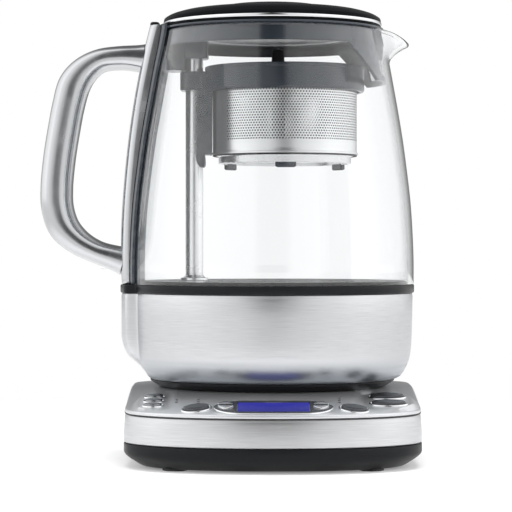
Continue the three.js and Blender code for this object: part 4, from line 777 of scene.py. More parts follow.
face, sole = bezel["rise"], -bezel["depth"]
bezelRows = [(bezelReach, 0, sole), (bezelReach, 0, face - 0.35), (bezelReach, 0.1, face - 0.1),
             (bezelReach, 0.35, face), (windowReach, -0.55, face), (windowReach, -0.35, face - 0.1),
             (windowReach, -0.3, face - 0.3), (windowReach, -0.3, sole)]
makePiece("displayBezel", *skin([bezelRing(*row) for row in bezelRows], looped=True), ovalPlastic,
          "power_base", "oval_plastic", ["display_bezel"])
rim = beadBody(bezelAt, bezelOutline(), bezel["rimGap"], bezel["rimWidth"], bezel["rimRise"])
makePiece("bezelRim", *rim, chrome, "power_base", "chrome")

top = bezel["rise"] - bezel["sink"]
windowRows = [(windowReach, 0, sole), (windowReach, 0, top - 0.2), (windowReach, 0.2, top),
              (windowReach * 0.6, 0, top), (windowReach * 0.02, 0, top)]
makePiece("displayWindow", *skin([bezelRing(*row) for row in windowRows]), displayFace, "power_base",
          "display", ["display_window"])

centre, right, along, normal = bezelAt
for word, side in (("temperature", -1), ("time", 1)):
    for label, up in (("up", 1), ("down", -1)):
        spot = centre + right * side * arrow["place"] + along * up * arrow["spread"] + normal * bezel["rise"]
        cap = capBody((spot, right, along, normal), arrowOutline(up), arrow["foot"], arrow["rise"],
                      arrow["dish"], arrow["shoulder"])
        node = f"{word}_{label}_button"
        makePiece(f"{word}.{label}.cap", *cap, satinChrome, node, "chrome", [node])

dots = {"places": [(-54.4, -64.0), (-41.9, -71.0), (37.0, -71.5)], "spacing": 3.1,
        "radius": 0.85, "steps": 16,
        # share of the radius and height of the dome's rings
        "dome": [(1, -0.3), (1, 0.02), (0.85, 0.12), (0.5, 0.2), (0.05, 0.24)]}
domes = []
for x, y in dots["places"]:
    centre, right, along, normal = deckFrame(x, y)
    for step in (-1, 0, 1):
        spot = (centre + along * step * dots["spacing"], right, along, normal)
        outline = ovalOutline(2 * dots["radius"], 2 * dots["radius"], dots["steps"])
        domes.append(skin([onFrame(spot, outline * share, height) for share, height in dots["dome"]]))
makePiece("indicatorDots", *together(*domes), ovalPlastic, "power_base", "oval_plastic")
print("controls made")

# Jug: foot, steel shell with the column's bulge, band

jug = {
    "steps": 256, "shellLevel": 47.9, "shellHeight": 49.9, "shellRadius": 82.6, "wall": 1.2,
    "floorRadius": 61.0, "columnRadius": 88.8, "columnHalf": 27.0, "columnFlank": 4.5,
    "columnTurns": (0.26, 0.36, 14), "bandLevel": 98.1, "bandHeight": 4.9, "bandRadius": 83.5,
    "bandColumn": 89.4, "bandFlange": (72.0, 2.1), "glassLevel": 103.3, "glassHeight": 148.3,
    "glassRadius": 83.2, "glassWall": 3.0, "rim": 251.6, "postX": -46.0, "postTop": 243.3,
}
# Share of the shell's height, of its radius, and of the column's radius
shellShares = [
    (0.0, 0.872, 0.8), (0.012, 0.893, 0.806), (0.03, 0.912, 0.82), (0.06, 0.927, 0.834), (0.09, 0.939, 0.848),
    (0.15, 0.959, 0.876), (0.21, 0.972, 0.915), (0.27, 0.982, 0.954), (0.33, 0.987, 0.976),
    (0.41, 0.991, 0.991), (0.5, 0.994, 1.0), (0.75, 0.998, 1.0), (0.97, 1.0, 1.0), (1.0, 0.996, 0.996)]


# 1 on the bulge, 0 off it: a smooth step of the angle away from the handle's side
def columnShare(turn):
    outer = math.asin(jug["columnHalf"] / jug["shellRadius"])
    inner = math.asin((jug["columnHalf"] - jug["columnFlank"]) / jug["shellRadius"])
    return 1 - smoothStep(angleFrom(turn, np.pi), inner, outer)


# Even steps, and close ones where the bulge turns out of the shell, behind the handle
flankTurn = np.linspace(*jug["columnTurns"])
columnTurn = np.sort(np.concatenate([np.linspace(0, 2 * np.pi, jug["steps"], endpoint=False),
                                     np.pi + flankTurn, np.pi - flankTurn]))


def columnRing(radius, column, height):
    reach = radius + (column - radius) * columnShare(columnTurn)
    return roundRing(reach, height, columnTurn)


# A ring of the shell by shares, drawn in by a wall and kept at least a wall over the shell's foot
def shellRing(up, share, bulge, wall=0.0):
    return columnRing(share * jug["shellRadius"] - wall, bulge * jug["columnRadius"] - wall,
                      jug["shellLevel"] + max(up * jug["shellHeight"], wall))


rings = [shellRing(*row) for row in shellShares]
rings += [shellRing(*row, jug["wall"]) for row in shellShares[::-1]]
rings += [columnRing(jug["floorRadius"], jug["floorRadius"], jug["shellLevel"] + lift)
          for lift in (jug["wall"], 0.0)]
makePiece("steelShell", *skin(rings, looped=True), shellSteel, "jug", "brushed_steel", ["steel_shell"])

step = jug["glassRadius"] - jug["glassWall"]
radius, column, level = jug["bandRadius"], jug["bandColumn"], jug["bandLevel"]
top = level + jug["bandHeight"]
flangeRadius, flangeTop = jug["bandFlange"][0], level + jug["bandFlange"][1]
# Radius, the same on the column, and height
profile = [(radius - 0.8, column - 0.8, level), (radius - 0.3, column - 0.3, level + 0.25),
           (radius, column, level + 0.8), (radius, column, top - 0.8),
           (radius - 0.15, column - 0.2, top - 0.3), (radius - 0.4, column - 0.8, top),
           (step, step, top), (step, step, flangeTop),
           (flangeRadius, flangeRadius, flangeTop), (flangeRadius, flangeRadius, level)]
makePiece("jugBand", *skin([columnRing(*row) for row in profile], looped=True), blackPlastic, "jug",
          "black_plastic", ["jug_band"])

# This outline and those like it are rows of radius, height and fillet
jugFootProfile = [(21.3, 45.6, 0), (60.0, 45.6, 0.5), (60.0, 43.5, 0.4), (66.5, 43.5, 0.8), (71.8, 46.8, 0.8),
                  (71.8, 47.6, 0), (21.3, 47.6, 0)]
makePiece("jugFoot", *turned(filleted(jugFootProfile), closed=True), blackPlastic, "jug", "black_plastic",
          ["jug_foot"])
print("jug shell made")

# Glass: wall radius by height, spout drawn out and down from the rim, and an inner skin one wall inside it

glass = {"rows": 60, "steps": 420, "lipSteps": 9}
# Share of the glass's height and of its radius
glassShares = [(0, 1), (0.092, 1), (0.22, 0.991), (0.335, 0.976), (0.45, 0.952), (0.571, 0.923),
               (0.69, 0.888), (0.79, 0.856), (0.86, 0.833), (0.93, 0.808), (1, 0.786)]
spout = {"reach": 15.6, "dip": 8.6, "spread": 26.0, "start": 0.86, "power": 1.8}
glassPath = sharePath(glassShares, jug["glassRadius"], glass["rows"])


def spoutShare(turn):
    away = angleFrom(turn, 0) / math.radians(spout["spread"])
    return np.where(away >= 1, 0, np.cos(np.minimum(away, 1) * np.pi / 2) ** 2)


# reach = share of the wall radius + spout reach x spout share x lift^2, where lift goes from 0 at the spout's
# start to 1 at the rim; the height falls by dip x spout share^power x lift
def glassRing(upShare, radiusShare, turn):
    pull = spoutShare(turn)
    lift = max(0, (upShare - spout["start"]) / (1 - spout["start"]))
    reach = radiusShare * jug["glassRadius"] + spout["reach"] * pull * lift ** 2
    height = jug["glassLevel"] + upShare * jug["glassHeight"] - spout["dip"] * pull ** spout["power"] * lift
    return np.stack([reach * np.cos(turn), reach * np.sin(turn), height], -1)


# The same grid moved inwards by the wall, along the surface's own normal
def innerSkin(outer, wall):
    side = np.roll(outer, -1, 1) - np.roll(outer, 1, 1)
    along = np.gradient(outer, axis=0)
    normal = np.cross(side, along)
    return outer - normal / np.linalg.norm(normal, axis=-1, keepdims=True) * wall


glassTurn = np.linspace(0, 2 * np.pi, glass["steps"], endpoint=False)
glassOuter = np.array([glassRing(up, radius, glassTurn) for up, radius in glassPath])
glassInner = innerSkin(glassOuter, jug["glassWall"])
glassInner[0, :, 2] = glassOuter[0, :, 2]
# The rim is fire-polished: a half-round from the outer to the inner skin
middle, half = (glassOuter[-1] + glassInner[-1]) / 2, (glassOuter[-1] - glassInner[-1]) / 2
edge = glassOuter[-1] - glassOuter[-2]
edge = edge / np.linalg.norm(edge, axis=-1, keepdims=True) * np.linalg.norm(half, axis=-1, keepdims=True)
lipTurn = np.linspace(0, np.pi, glass["lipSteps"])
lip = [middle + half * math.cos(turn) + edge * (math.sin(turn) - 1) for turn in lipTurn]
grid = np.concatenate([glassOuter[:-1], lip, glassInner[-2::-1]])
makePiece("glassJug", *skin(grid, looped=True), jugGlass, "jug", "jug_glass", ["glass_jug"])
print("glass made")

# Handle: chrome spine up the glass, its dark lining, and the D-shaped grip

# Share of the spine's height and of its reach
spineShares = [(0, 0.996), (0.09, 1), (0.25, 0.996), (0.41, 0.977), (0.57, 0.948), (0.73, 0.907),
               (0.885, 0.854), (1, 0.807)]
spine = {"reach": 88.3, "foot": 103.3, "top": 254.6, "half": 18.0, "corner": 4.5, "crown": 0.5, "gap": 0.3,
         "lining": 1.5, "liningHalf": 24.5, "liningTaper": 0.985, "liningInset": 0.2,
         "rows": 70, "pathRows": 90,
         # inset and distance from the end of the rings that round both ends
         "ends": [(0.7, 0.0), (0.25, 0.25)], "endsDone": 0.8}
spinePath = sharePath(spineShares, spine["reach"], spine["pathRows"])


def wallAt(height):
    share = (height - jug["glassLevel"]) / jug["glassHeight"]
    return np.interp(share, glassPath[:, 0], glassPath[:, 1] * jug["glassRadius"])


def spineAt(height):
    share = (height - spine["foot"]) / (spine["top"] - spine["foot"])
    return np.interp(share, spinePath[:, 0], spinePath[:, 1] * spine["reach"])


# Level arc about the jug's axis on the handle's side: x = -root of (radius^2 - y^2)
def arcLine(radius, y):
    return np.stack([-np.sqrt(radius ** 2 - y ** 2), y], -1)


# One level of the spine: the glass's arc behind, flat face with quarter-round edges in front
def spineRing(height, inset=0.0):
    back = wallAt(min(height, jug["rim"])) + 2 * spine["gap"] + spine["lining"] + inset
    half, corner = spine["half"] - inset, spine["corner"]
    turn = np.linspace(0, np.pi / 2, 8)
    front = -(spineAt(height) - inset)
    low = np.stack([front + corner * (1 - np.sin(turn)), -half + corner * (1 - np.cos(turn))], -1)
    across = np.linspace(-half + corner, half - corner, 8)[1:-1]
    face = np.stack([front - spine["crown"] * (1 - (across / half) ** 2), across], -1)
    rear = arcLine(back, np.linspace(half, -half, 14))
    return lifted(np.concatenate([rear, low, face, low[::-1] * (1, -1)]), height)


heights = np.linspace(spine["foot"] + spine["endsDone"], spine["top"] - spine["endsDone"], spine["rows"])
rings = [spineRing(spine["foot"] + away, inset) for inset, away in spine["ends"]]
rings += [spineRing(height) for height in heights]
rings += [spineRing(spine["top"] - away, inset) for inset, away in spine["ends"][::-1]]
makePiece("handleSpine", *skin(rings), satinChrome, "jug", "chrome", ["handle_spine"])


# One level of the lining: a strip of the glass's own curve between two arcs, the inner one a little shorter
def liningRing(height, inset=0.0):
    inside = wallAt(min(height, jug["rim"])) + spine["gap"] + inset
    outside = inside + spine["lining"] - 2 * inset
    y = np.linspace(spine["liningHalf"] - inset, inset - spine["liningHalf"], 30)
    rear, front = arcLine(inside, y * spine["liningTaper"]), arcLine(outside, y[::-1])
    return lifted(np.concatenate([rear, front]), height)


rings = [liningRing(spine["foot"], spine["liningInset"])] + [liningRing(height) for height in heights]
rings += [liningRing(spine["top"], spine["liningInset"])]
makePiece("handleLining", *skin(rings), greyPlastic, "jug", "grey_plastic", ["handle_lining"])

# Share of reach from the jug's axis, of height over the lower arm, and of thickness
gripShares = [
    (0.58, 1, 0.69), (0.7, 1.005, 0.69), (0.8, 0.99, 0.72), (0.872, 0.94, 0.88), (0.918, 0.872, 1),
    (0.945, 0.772, 1), (0.966, 0.655, 1), (0.988, 0.505, 1), (1, 0.36, 1), (0.996, 0.26, 1),
    (0.968, 0.17, 0.98), (0.906, 0.1, 0.84), (0.82, 0.048, 0.7), (0.72, 0.012, 0.68), (0.62, -0.022, 0.68)]
# sunk: how far both ends run into the spine; flare: what is added to the half thickness there
grip = {"reach": 127.0, "foot": 116.6, "height": 119.0, "thickness": 18.6, "half": 16.0, "squareness": 2.9,
        "rows": 150, "section": 44, "sunk": 2.0, "flare": 2.4, "flareLength": 9.0}
gripKnots = [(-reach * grip["reach"], grip["foot"] + up * grip["height"], thick * grip["thickness"])
             for reach, up, thick in gripShares]
gripPath = smoothPath(gripKnots, grip["rows"])
tangent = np.gradient(gripPath[:, :2], axis=0)
tangent /= np.linalg.norm(tangent, axis=1, keepdims=True)
# Over 0 where the grip has run into the spine
inSpine = gripPath[:, 0] + (spineAt(gripPath[:, 1]) - grip["sunk"])
kept = inSpine < 0
flare = grip["flare"] * np.exp(-np.clip(-inSpine, 0, None) / grip["flareLength"])
rings = []
for (x, z, thick), (dx, dz), extra in zip(gripPath[kept], tangent[kept], flare[kept]):
    section = squareRing(thick / 2 + extra, grip["half"], grip["squareness"], grip["section"])
    rings.append(np.stack([x - dz * section[:, 0], section[:, 1], z + dx * section[:, 0]], -1))
makePiece("handleGrip", *skin(rings), satinChrome, "jug", "chrome", ["handle_grip"])

# Dark cap over the spine's top, tucked against the lid
cap = {"foot": 254.4, "top": 256.4, "out": 71.6, "in": 66.0, "half": 14.0, "squareness": 5.0, "steps": 56,
       "depth": 3.0,
       # inset and drop from the top
       "edge": [(0.0, 0.8), (0.3, 0.2), (0.9, 0.0), (2.2, 0.0)]}
line = squareRing((cap["out"] - cap["in"]) / 2, cap["half"], cap["squareness"], cap["steps"])
levels = [(0.0, cap["foot"])] + [(inset, cap["top"] - drop) for inset, drop in cap["edge"]]
middle = (-(cap["out"] + cap["in"]) / 2, 0)
rings = [lifted(line * (1 - inset / cap["depth"], 1 - inset / cap["half"]) + middle, height)
         for inset, height in levels]
makePiece("spineCap", *skin(rings), blackPlastic, "jug", "black_plastic")
print("handle made")

# Collar in the mouth with the post's bracket, and the apron round the pouring filter

# seat and rimSeat: heights where it meets the glass; lip: inner and outer radius of the ring under the lid
collar = {"foot": 241.6, "seat": 246.0, "rimSeat": 251.4, "flat": 251.9, "top": 253.1, "wall": 2.5,
          "fit": 0.45, "lip": (60.0, 65.35)}
fitColumn = 64  # the column of the glass's grid that the fit is taken from, 55 degrees round from the spout


def innerAt(height):
    x, y, level = glassInner[:, fitColumn].T
    return np.interp(height, level, np.hypot(x, y))


def fitAt(height):
    return innerAt(height) - collar["fit"]


foot, wall, flat, top = collar["foot"], collar["wall"], collar["flat"], collar["top"]
lipIn, lipOut = collar["lip"]
rimSeat = fitAt(collar["rimSeat"])
profile = [(fitAt(foot) - wall, foot, 0.6), (fitAt(foot), foot, 0.6),
           (fitAt(collar["seat"]), collar["seat"], 0), (rimSeat, collar["rimSeat"], 0),
           (rimSeat, flat, 0), (lipOut, flat, 0.3), (lipOut, top, 0.4),
           (lipIn, top, 0.4), (fitAt(jug["rim"]) - wall, flat, 0.8)]
makePiece("mouthCollar", *turned(filleted(profile), closed=True), greyPlastic, "jug", "grey_plastic",
          ["mouth_collar"])


# Rounded block between two corners: level sections of a super-ellipse, drawn in at both ends
def blockBody(low, high, corner=0.8, squareness=9.0, steps=64):
    low, high = np.array(low, float), np.array(high, float)
    middle, half = (low + high) / 2, (high - low) / 2
    below = [(turn, low[2] + corner) for turn in np.linspace(-np.pi / 2, 0, 5)]
    above = [(turn, high[2] - corner) for turn in np.linspace(0, np.pi / 2, 5)]
    rings = []
    for turn, level in below + above:
        inset = corner * (1 - math.cos(turn))
        line = squareRing(half[0] - inset, half[1] - inset, squareness, steps)
        rings.append(lifted(line + middle[:2], level + corner * math.sin(turn)))
    return skin(rings)


# An arm from the collar to the post, and the head that the post's top is held in
bracket = {"foot": 228.3, "top": 246.3, "half": 10.0, "collarGap": 1.2, "armEnd": 4.9, "headFoot": 235.3,
           "headBack": 7.0, "headHalf": 8.4, "headSquareness": 4.0}
post, armHalf, headHalf = jug["postX"], bracket["half"], bracket["headHalf"]
armBack = bracket["collarGap"] - fitAt(jug["postTop"])
arm = blockBody((armBack, -armHalf, bracket["foot"]), (post - bracket["armEnd"], armHalf, bracket["top"]))
head = blockBody((post - bracket["headBack"], -headHalf, bracket["headFoot"]),
                 (post + headHalf, headHalf, bracket["top"]), squareness=bracket["headSquareness"])
makePiece("postBracket", *together(arm, head), greyPlastic, "jug", "grey_plastic")

# Spreads are the angles that it covers about the jug's axis, in degrees
apron = {"foot": 220.8, "top": 242.2, "footSpread": 54.0, "topSpread": 96.0, "wall": 2.0, "gap": 0.6,
         "filterFoot": 224.0, "filterTop": 234.1, "filterSpread": 45.0,
         "rows": 6, "columns": 40, "sideColumns": 10}


# Half the apron's spread at a height, and half the window's
def apronHalf(height):
    share = (height - apron["foot"]) / (apron["top"] - apron["foot"])
    return np.radians(apron["footSpread"] + (apron["topSpread"] - apron["footSpread"]) * share) / 2


def windowHalf(height):
    return np.radians(apron["filterSpread"]) / 2 + 0 * height


# Closed sheet from two grids that face each other
def sheetBody(front, back):
    return skin([np.concatenate([ring, facing[::-1]]) for ring, facing in zip(front, back)])


# Strip of the apron between two heights, curved with the glass, from one angle to another at each height
def apronStrip(low, high, startAt, endAt, columns):
    height, share = np.linspace(low, high, apron["rows"])[:, None], np.linspace(0, 1, columns)[None, :]
    turn = startAt(height) * (1 - share) + endAt(height) * share
    grids = []
    for inset in (apron["gap"], apron["gap"] + apron["wall"]):
        reach = fitAt(height) - inset
        grids.append(np.stack([reach * np.cos(turn), reach * np.sin(turn), height + 0 * turn], -1))
    return sheetBody(*grids)


# Under the window, over it, and on both its sides
strips = [apronStrip(low, high, lambda height: -apronHalf(height), apronHalf, apron["columns"])
          for low, high in ((apron["foot"], apron["filterFoot"]), (apron["filterTop"], apron["top"]))]
strips += [apronStrip(apron["filterFoot"], apron["filterTop"], lambda height: side * windowHalf(height),
                      lambda height: side * apronHalf(height), apron["sideColumns"]) for side in (-1, 1)]
makePiece("collarApron", *together(*strips), greyPlastic, "jug", "grey_plastic")
print("collar made")


# Perforated sheet: hexagonal cells, each with a six-sided hole, worked out for all cells at once.
# spot(cells, side) puts cell coordinates on the outer (side 0) or inner (side 1) face; kept marks the cells
# with a hole. With closed, an edge that only one cell has is walled from face to face.
def latticeBody(centres, pitch, rise, hole, kept, spot, closed=False):
    corner = np.array([(0, 2 / 3), (0.5, 1 / 3), (0.5, -1 / 3), (0, -2 / 3), (-0.5, -1 / 3), (-0.5, 1 / 3)])
    turn = np.pi / 2 - np.arange(6) * np.pi / 3
    bore = np.stack([np.cos(turn), np.sin(turn)], -1) * hole / 2
    rims = (centres[:, None] + corner * (pitch, rise)).reshape(-1, 2)
    bores = (centres[:, None] + bore).reshape(-1, 2)
    points = np.concatenate([spot(rims, 0), spot(rims, 1), spot(bores, 0), spot(bores, 1)])
    count = len(rims)
    first = np.arange(len(centres))[:, None] * 6
    a, b = first + np.arange(6), first + (np.arange(6) + 1) % 6
    rimOut, rimIn, boreOut, boreIn = 0, count, 2 * count, 3 * count
    holed = kept[:, None] & np.ones(6, bool)
    quads = [np.stack([a + rimOut, b + rimOut, b + boreOut, a + boreOut], -1),
             np.stack([a + rimIn, b + rimIn, b + boreIn, a + boreIn], -1),
             np.stack([a + boreOut, b + boreOut, b + boreIn, a + boreIn], -1)]
    faces = [face for quad in quads for face in quad[holed].tolist()]
    whole = (first + np.arange(6))[~kept]
    faces += (whole + rimOut).tolist() + (whole + rimIn).tolist()
    if closed:
        edges = np.stack([a, b], -1).reshape(-1, 2)
        # one whole number for each corner of the cells: its column plus 10000 times its row
        spots = np.round((rims - centres[0]) / (pitch / 2, rise / 3)).astype(int) @ (1, 10000)
        _, back, uses = np.unique(np.sort(spots[edges], axis=1), axis=0, return_inverse=True,
                                  return_counts=True)
        free = edges[uses[back.ravel()] == 1]
        faces += np.column_stack([free, free[:, ::-1] + count]).tolist()
    return points, faces


# Centres of the cells in their own plane: every other row is half a pitch on
def cellCentres(columns, rows, pitch, rise, start, low):
    column, row = np.meshgrid(np.arange(columns), np.arange(rows))
    across, up = (column + start + (row % 2) / 2).ravel() * pitch, low + (row.ravel() + 2 / 3) * rise
    return np.stack([across, up], -1)


# Basket drum; seam is half the angle without holes, on the carrier's side
drum = {"centre": (7.4, 0.0), "radius": 42.4, "wall": 0.8, "foot": 178.9, "top": 227.1, "flange": 0.8,
        "rim": 43.9, "around": 156, "rows": 20, "low": 186.3, "hole": 1.1, "seam": 37.0}
pitch = 2 * np.pi * drum["radius"] / drum["around"]
riseStep = pitch * math.sqrt(3) / 2
centres = cellCentres(drum["around"], drum["rows"], pitch, riseStep, 0, drum["low"])
kept = np.degrees(angleFrom(centres[:, 0] / drum["radius"], np.pi)) > drum["seam"]


# Points on the drum's skin at a radius, from angles and heights
def onDrum(radius, turn, level):
    return np.stack([drum["centre"][0] + radius * np.cos(turn), radius * np.sin(turn), level], -1)


def drumSpot(cells, side):
    return onDrum(drum["radius"] - side * drum["wall"], cells[:, 0] / drum["radius"], cells[:, 1])


mesh = latticeBody(centres, pitch, riseStep, drum["hole"], kept, drumSpot)


# Rings of plain sheet whose steps meet the lattice's zigzag edge: heights alternate on that edge only
def sheetRing(radius, height, zigzag=0.0):
    step = np.arange(2 * drum["around"])
    return onDrum(radius, step * np.pi / drum["around"], height + zigzag * (step % 2))


outside, inside = drum["radius"], drum["radius"] - drum["wall"]
foot, top, flange = drum["foot"], drum["top"], drum["radius"] + drum["flange"]
# The lattice starts at the lower corners of its first row and ends at the upper corners of its last; the
# corners between them lie a third of a row inwards, and an odd last row has them half a step on
zigzag = riseStep / 3
last = drum["low"] + (drum["rows"] - 1 + 4 / 3) * riseStep
oddEnd = (drum["rows"] - 1) % 2
latticeTop, topZigzag = (last - zigzag, zigzag) if oddEnd else (last, -zigzag)
plainTop = last + 1.5
below = [(outside, drum["low"], zigzag), (outside, foot + 6.1), (outside, foot + 3.1), (outside, foot + 1.7),
         (outside + 0.25, foot + 1.2), (flange, foot + 1.0), (flange, foot), (inside, foot),
         (inside, foot + 3.1), (inside, drum["low"], zigzag)]
above = [(outside, latticeTop, topZigzag), (outside, plainTop), (outside, top - 1.4),
         (drum["rim"], top - 1.1), (drum["rim"], top), (inside, top), (inside, plainTop),
         (inside, latticeTop, topZigzag)]
plain = [skin([sheetRing(*row) for row in rows], caps=False) for rows in (below, above)]
makePiece("basketDrum", *together(mesh, *plain), drumSheet, "infuser", "plain_steel", ["basket_drum"])
print("drum:", int(kept.sum()), "holes")

rimProfile = [(44.2, 215.6, 0.3), (46.0, 215.6, 0.5), (46.8, 216.6, 0.5), (46.8, 228.3, 0.3),
              (47.1, 228.6, 0.2), (47.1, 230.2, 0.35), (46.3, 230.5, 0.2), (44.2, 230.5, 0.3),
              (44.2, 225.7, 0.1), (42.8, 225.7, 0.1), (42.8, 224.1, 0.1), (44.2, 224.1, 0.1)]
makePiece("basketRim", *turned(filleted(rimProfile, closed=True), drum["centre"], closed=True), greyPlastic,
          "infuser", "grey_plastic", ["basket_rim"])

# Sleeve round the post with its ears, a link to the rim, and a tapering blade with its tip under them
carrier = {
    "foot": 216.6, "top": 227.6, "bore": 5.5, "sleeve": 8.2, "half": 11.0, "squareness": 4.0, "steps": 96,
    "endShare": 0.95, "endHeight": 0.7,
    "linkBack": -41.6, "linkHalf": 10.6, "linkCircle": 47.15, "linkInset": 0.1, "linkEdge": 0.01,
    # height, back and gap to the drum in front, half width
    "blade": [(216.8, -44.6, 0.4, 10.4), (200.0, -44.8, 0.4, 10.0), (184.0, -45.0, 0.4, 9.4),
              (180.0, -45.0, 0.4, 8.6), (178.9, -45.0, 0.4, 8.0)],
    "bladeCircle": 43.55, "bladeRound": 0.8,
    # height, back and front, half width
    "tip": [(178.9, -45.0, -39.6, 7.8), (176.0, -45.0, -39.3, 6.6), (173.6, -44.4, -39.2, 5.6),
            (171.9, -42.6, -39.6, 4.4), (171.6, -42.2, -40.0, 4.0)],
    "tipSteps": 40,
}
sleeveOut = squareRing(carrier["sleeve"], carrier["half"], carrier["squareness"], carrier["steps"])
sleeveIn = ovalOutline(2 * carrier["bore"], 2 * carrier["bore"], carrier["steps"])
foot, top, end = carrier["foot"], carrier["top"], carrier["endHeight"]
rows = [(sleeveOut * carrier["endShare"], foot), (sleeveOut, foot + end), (sleeveOut, top - end),
        (sleeveOut * carrier["endShare"], top), (sleeveIn, top), (sleeveIn, foot)]
sleeve = skin([lifted(line + (jug["postX"], 0), height) for line, height in rows], looped=True)


# Back at one x, front an arc about the basket's axis, x = centre - root of (circle^2 - y^2)
def plateLine(back, half, circle, gap=0.0, rounding=0.0, steps=24):
    y = np.linspace(-half, half, steps)
    front = drum["centre"][0] - np.sqrt(circle ** 2 - y ** 2) - gap
    rear = back + rounding * (y / half) ** 6
    return np.concatenate([np.stack([rear, y], -1), np.stack([front, y], -1)[::-1]])


link = plateLine(carrier["linkBack"], carrier["linkHalf"], carrier["linkCircle"])
linkFoot, linkTop, edge = foot + carrier["linkInset"], top - carrier["linkInset"], carrier["linkEdge"]
linkLevels = (linkFoot, linkFoot + edge, linkTop - edge, linkTop)
blade = [lifted(plateLine(back, half, carrier["bladeCircle"], gap, carrier["bladeRound"], 20), height)
         for height, back, gap, half in carrier["blade"]]
tip = [lifted(squareRing((front - back) / 2, half, carrier["squareness"], carrier["tipSteps"])
              + ((front + back) / 2, 0), height) for height, back, front, half in carrier["tip"]]
bodies = [sleeve, skin([lifted(link, height) for height in linkLevels]), skin(blade), skin(tip)]
makePiece("basketCarrier", *together(*bodies), greyPlastic, "infuser", "grey_plastic", ["basket_carrier"])

baseProfile = [(0, 175.27, 0), (36.6, 175.27, 0.2), (36.6, 173.6, 0.2), (39.0, 173.6, 0.5),
               (39.0, 177.9, 0.6), (41.3, 178.6, 0), (41.3, 181.6, 0.2), (38.9, 181.6, 0.2),
               (38.9, 176.27, 0.2), (0, 176.27, 0)]
makePiece("basketBase", *turned(filleted(baseProfile), drum["centre"]), plainSteel, "basket_base",
          "plain_steel", ["basket_base"])

# Three lugs under the base, of the base's own steel; they take the dark grey plastic, painted shade for where
# they lie under the ring. Rings give the share of the outline and the height
lug = {"count": 3, "start": np.pi / 6, "reach": 37.3, "depth": 1.35, "half": 6.0, "squareness": 4.0,
       "steps": 40, "rings": [(0.8, 170.6), (1, 171.2), (1, 174.2)]}
section = squareRing(lug["depth"], lug["half"], lug["squareness"], lug["steps"])
lugs = []
for number in range(lug["count"]):
    turn = 2 * np.pi * number / lug["count"] + lug["start"]
    outwards = np.array([math.cos(turn), math.sin(turn)])
    sideways = np.array([-math.sin(turn), math.cos(turn)])
    middle = outwards * lug["reach"] + drum["centre"]
    line = section[:, :1] * outwards + section[:, 1:] * sideways
    lugs.append(skin([lifted(middle + line * share, height) for share, height in lug["rings"]]))
makePiece("baseLugs", *together(*lugs), greyPlastic, "basket_base", "grey_plastic")

# Dark soft-rubber ring in the gap between the drum and its base: painted shade, the dark line that gap shows
gapShadeProfile = [(41.0, 178.0, 0.1), (42.5, 178.0, 0.3), (42.5, 178.8, 0.2), (41.0, 178.8, 0.1)]
makePiece("basketGapShade", *turned(filleted(gapShadeProfile, closed=True), drum["centre"], closed=True), softRubber,
          "basket_base", "rubber")

stem = {"centre": (3.4, 0.0), "steps": 64}
plateProfile = [(0, 227.4, 0), (43.9, 227.4, 0.3), (43.9, 228.9, 0.5), (41.5, 228.9, 0.3), (40.8, 228.3, 0.3),
                (0, 228.3, 0)]
stemProfile = [(0, 184.4, 0), (3.5, 184.4, 0.8), (3.9, 190, 0), (3.95, 227.4, 0), (4.6, 228.0, 0.4),
               (4.2, 229.6, 0.5), (3.75, 236, 0), (3.6, 240.9, 0.9), (0, 241.6, 0)]
bodies = [turned(filleted(plateProfile), drum["centre"]),
          turned(filleted(stemProfile), stem["centre"], stem["steps"])]
makePiece("basketLid", *together(*bodies), blackPlastic, "basket_lid", "black_plastic", ["basket_lid"])
print("basket made")

# Spout filter: the same lattice on the collar's curve, plain at its edges

strainer = {"foot": 224.0, "top": 234.1, "spread": 44.6, "wall": 0.6, "radius": 66.0, "gap": 1.3,
            "across": 26, "rows": 6, "hole": 1.05}
width = math.radians(strainer["spread"]) * strainer["radius"]
pitch = width / (strainer["across"] + 0.5)
riseStep = (strainer["top"] - strainer["foot"]) / (strainer["rows"] + 1 / 3)
centres = cellCentres(strainer["across"], strainer["rows"], pitch, riseStep, 0.5, strainer["foot"])
centres -= (width / 2, 0)


def strainerSpot(cells, side):
    turn = cells[:, 0] / strainer["radius"]
    reach = fitAt(cells[:, 1]) - strainer["gap"] - side * strainer["wall"]
    return np.stack([reach * np.cos(turn), reach * np.sin(turn), cells[:, 1]], -1)


everyCell = np.ones(len(centres), bool)
mesh = latticeBody(centres, pitch, riseStep, strainer["hole"], everyCell, strainerSpot, closed=True)
makePiece("spoutFilter", *mesh, plainSteel, "jug", "plain_steel", ["spout_filter"])

# Lid: domed cover, trim ring, disc knob, liner and seal

coverProfile = [(0, 262.5, 0), (44, 262.5, 3), (60.0, 257.6, 1.0), (60.0, 253.4, 0.3), (64.0, 253.4, 0.4),
                (64.0, 254.4, 0.1), (63.0, 254.4, 0), (63.0, 257.0, 0), (64.0, 257.0, 0.1),
                (63.7, 258.9, 0.8), (60.2, 261.1, 2.5), (52.0, 263.5, 4.0), (43.0, 264.4, 6.0),
                (31.5, 264.5, 1.0), (30.6, 264.2, 0.3), (29.0, 264.2, 0.3), (0, 264.5, 0)]
makePiece("lidCover", *turned(filleted(coverProfile, steps=7)), lidPlastic, "lid", "grey_plastic",
          ["lid_cover"])
trimProfile = [(63.3, 254.7, 0.2), (64.1, 254.7, 0.6), (64.35, 255.7, 0.6), (64.1, 256.7, 0.6),
               (63.3, 256.7, 0.2)]
makePiece("lidTrimRing", *turned(filleted(trimProfile, closed=True), closed=True), chrome, "lid", "chrome",
          ["lid_trim_ring"])
knobProfile = [(0, 264.8, 0), (27.9, 264.8, 0.3), (28.5, 265.5, 0.6), (27.6, 266.8, 0.9), (24.5, 267.1, 1.2),
               (17.0, 267.35, 2.0), (0, 267.4, 0)]
